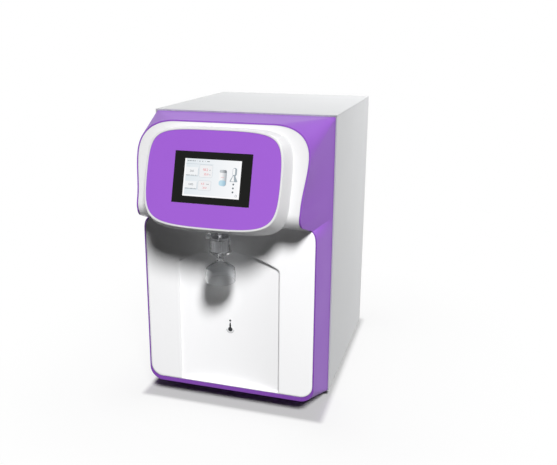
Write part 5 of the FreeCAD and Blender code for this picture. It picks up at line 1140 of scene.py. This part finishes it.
class WATER_OT_stage(bpy.types.Operator):
    """Sets the camera, the lamps, the pale floor and the white room"""
    bl_idname = "water.stage"
    bl_label = "Stage"
    bl_options = {"REGISTER", "UNDO"}

    AIM = Vector((0.02479, -0.09403, 0.32517))
    SHIFT = (0.0388, -0.0245)
    SENSOR_MM = 36
    KEY_WAY = Vector((0.338, -0.62, 0.708))
    KEY_ANGLE = radians(14)    # width of the far light in the sky
    KEY_DISTANCE = 2.0
    HEAD_WAY = Vector((0.35, -1, 0.2))
    SPOT_DISTANCE = 2.5
    SPOT_REACH = 0.5           # radius of a spot lamp's light
    # Soft lamps: name, way from the unit, distance and size
    LAMPS = (("side", (1, 0.45, 0.12), 1.7, 0.9), ("top", (0.5, 0.4, 0.8), 1.3, 0.9),
             ("rear", (0.35, 0.9, 0.45), 2.2, 1.2), ("left", (-1, 0.35, 0.05), 2.2, 1.2))
    LIT_MIDDLE = Vector((0.0, 0.0, 0.28))
    FLOOR_SIZE = 12.0
    FLOOR_PAPER = (0.95, 0.95, 0.95)
    FLOOR_DIM = (0.04, 0.04, 0.04)           # what rays other than camera and gloss rays meet
    SHADOW_REACH = 0.36        # how far from the unit the floor keeps some of the shadow
    SHADOW_SHARES = ((0.0, 1.0), (0.03, 0.17), (0.12, 0.13), (0.3, 0.07), (0.7, 0.02), (1.0, 0.0))

    def execute(self, context):
        settings = context.scene.water_stage
        self.camera(context.scene, settings)
        self.key_light(settings.key)
        self.spot("panel_lamp", self.KEY_WAY, settings.panel, "lower_panel")
        self.spot("head_lamp", self.HEAD_WAY, settings.head, "display_pod", "pod_overlay",
                  "head_surround", "front_bezel")
        floor = self.floor()
        for name, way, distance, size in self.LAMPS:
            self.lamp(name + "_lamp", Vector(way), distance, size, getattr(settings, name), floor)
        self.room(context.scene, settings.ambient)
        context.scene.view_settings.view_transform = "Standard"
        return {"FINISHED"}

    def camera(self, scene, settings):
        turn, rise = settings.turn, settings.rise
        back = Vector((sin(turn) * cos(rise), -cos(turn) * cos(rise), sin(rise)))
        data = bpy.data.cameras.new("unit_camera")
        data.lens = settings.lens
        data.sensor_width = self.SENSOR_MM
        data.shift_x, data.shift_y = self.SHIFT
        made = bpy.data.objects.new("unit_camera", data)
        made.location = self.AIM + back * settings.distance
        made.rotation_euler = back.to_track_quat("Z", "Y").to_euler()
        scene.collection.objects.link(made)
        scene.camera = made

    def key_light(self, strength):
        data = bpy.data.lights.new("key_light", "SUN")
        data.energy = strength
        data.angle = self.KEY_ANGLE
        self.hang(data, self.LIT_MIDDLE, self.KEY_WAY, self.KEY_DISTANCE)

    def spot(self, name, way, power, *nodes):
        """Spot lamp, as soft as the key light, that lights only the nodes it is for."""
        data = bpy.data.lights.new(name, "SPOT")
        data.energy = power
        data.shadow_soft_size = self.SPOT_DISTANCE * tan(self.KEY_ANGLE / 2)
        data.spot_size = 2 * atan(self.SPOT_REACH / self.SPOT_DISTANCE)
        made = self.hang(data, middle(nodes[0]), way, self.SPOT_DISTANCE)
        lit = bpy.data.collections.new(name + "_lights")
        for node in nodes:
            lit.objects.link(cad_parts[node])
        made.light_linking.receiver_collection = lit

    def lamp(self, name, way, distance, size, power, floor):
        """Soft lamp whose light and shadow stay off the floor."""
        data = bpy.data.lights.new(name, "AREA")
        data.shape = "DISK"
        data.size = size
        data.energy = power
        made = self.hang(data, self.LIT_MIDDLE, way, distance)
        made.visible_glossy = False
        spared = bpy.data.collections.new(name + "_spares")
        spared.objects.link(floor)
        spared.collection_objects[0].light_linking.link_state = "EXCLUDE"
        made.light_linking.receiver_collection = spared

    def hang(self, data, aim, way, distance):
        """Places a lamp that way from its aim and turns it to it."""
        made = bpy.data.objects.new(data.name, data)
        made.location = aim + way.normalized() * distance
        made.rotation_euler = way.to_track_quat("Z", "Y").to_euler()
        bpy.context.scene.collection.objects.link(made)
        return made

    def floor(self):
        """Pale floor: it keeps the shadow close to the unit and is plain white further out."""
        half = self.FLOOR_SIZE / 2
        mesh = bpy.data.meshes.new("floor")
        corners = [(-half, -half, 0), (half, -half, 0), (half, half, 0), (-half, half, 0)]
        mesh.from_pydata(corners, [], [(0, 1, 2, 3)])
        floor = bpy.data.objects.new("floor", mesh)
        bpy.context.scene.collection.objects.link(floor)
        graph = new_graph("floor_paper")
        keeps = graph.ramp(self.from_unit(graph) / self.SHADOW_REACH, *self.SHADOW_SHARES)
        paper = graph.value("BsdfDiffuse", {}, {"Color": self.FLOOR_PAPER})
        white = graph.value("Emission", {}, {"Color": (1, 1, 1), "Strength": 1.0})
        bright = graph.value("MixShader", {}, {0: keeps, 1: white, 2: paper})
        dim = graph.value("BsdfDiffuse", {}, {"Color": self.FLOOR_DIM})
        seen = graph.seen_by("Camera", "Glossy")
        look = graph.value("MixShader", {}, {0: seen, 1: dim, 2: bright})
        mesh.materials.append(graph.output("Material", look))
        return floor

    def from_unit(self, graph):
        """Distance of a point of the floor from the unit's footprint."""
        low, high = (Vector(corner) for corner in CAD_BOX)
        low.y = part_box("lower_panel")[0].y     # the head stands out further, but high over the floor
        centre, half = (low + high) / 2, (high - low) / 2
        half.z = self.FLOOR_SIZE
        inward = graph.vector("ABSOLUTE", graph.vector("SUBTRACT", graph.place(), centre))
        outward = graph.vector("MAXIMUM", graph.vector("SUBTRACT", inward, half))
        return graph.vector("LENGTH", outward, output="Value")

    def room(self, scene, ambient):
        """Even room light; the camera, gloss and clear parts see it white."""
        graph = Graph(bpy.data.worlds.new("white_room"))
        dim, white = (graph.value("Background", {}, {"Color": (1, 1, 1), "Strength": strength})
                      for strength in (ambient, 1.0))
        seen = graph.seen_by("Camera", "Transmission", "Glossy")
        scene.world = graph.output("World", graph.value("MixShader", {}, {0: seen, 1: dim, 2: white}))


OPERATORS = (WATER_OT_case, WATER_OT_front, WATER_OT_screen, WATER_OT_drop_mark, WATER_OT_filter,
             WATER_OT_cartridges, WATER_OT_water_works, WATER_OT_rear, WATER_OT_screws, WATER_OT_stage)


class WATER_PT_pieces(bpy.types.Panel):
    """Settings and one button for each group of pieces."""
    bl_label = "Water System"
    bl_idname = "WATER_PT_pieces"
    bl_space_type = "VIEW_3D"
    bl_region_type = "UI"
    bl_category = "Water System"

    def draw(self, context):
        scene = context.scene
        for title, group in (("Colours", scene.water_colours), ("Sizes", scene.water_sizes),
                             ("Stage", scene.water_stage)):
            column = self.layout.column(heading=title)
            for name in group.__annotations__:
                column.prop(group, name)
        for operator in OPERATORS:
            self.layout.operator(operator.bl_idname)


CLASSES = (WaterColours, WaterSizes, WaterStage, *OPERATORS, WATER_PT_pieces)


def register():
    for one in CLASSES:
        bpy.utils.register_class(one)
    bpy.types.Scene.water_colours = PointerProperty(type=WaterColours)
    bpy.types.Scene.water_sizes = PointerProperty(type=WaterSizes)
    bpy.types.Scene.water_stage = PointerProperty(type=WaterStage)


def unregister():
    del bpy.types.Scene.water_stage
    del bpy.types.Scene.water_sizes
    del bpy.types.Scene.water_colours
    for one in reversed(CLASSES):
        bpy.utils.unregister_class(one)


def main():
    register()
    bpy.ops.water.case()
    bpy.ops.water.front()
    bpy.ops.water.screen()
    bpy.ops.water.drop_mark()
    bpy.ops.water.filter()
    bpy.ops.water.cartridges()
    bpy.ops.water.water_works()
    bpy.ops.water.rear()
    bpy.ops.water.screws()
    bpy.ops.water.stage()


if __name__ == "__main__":
    main()
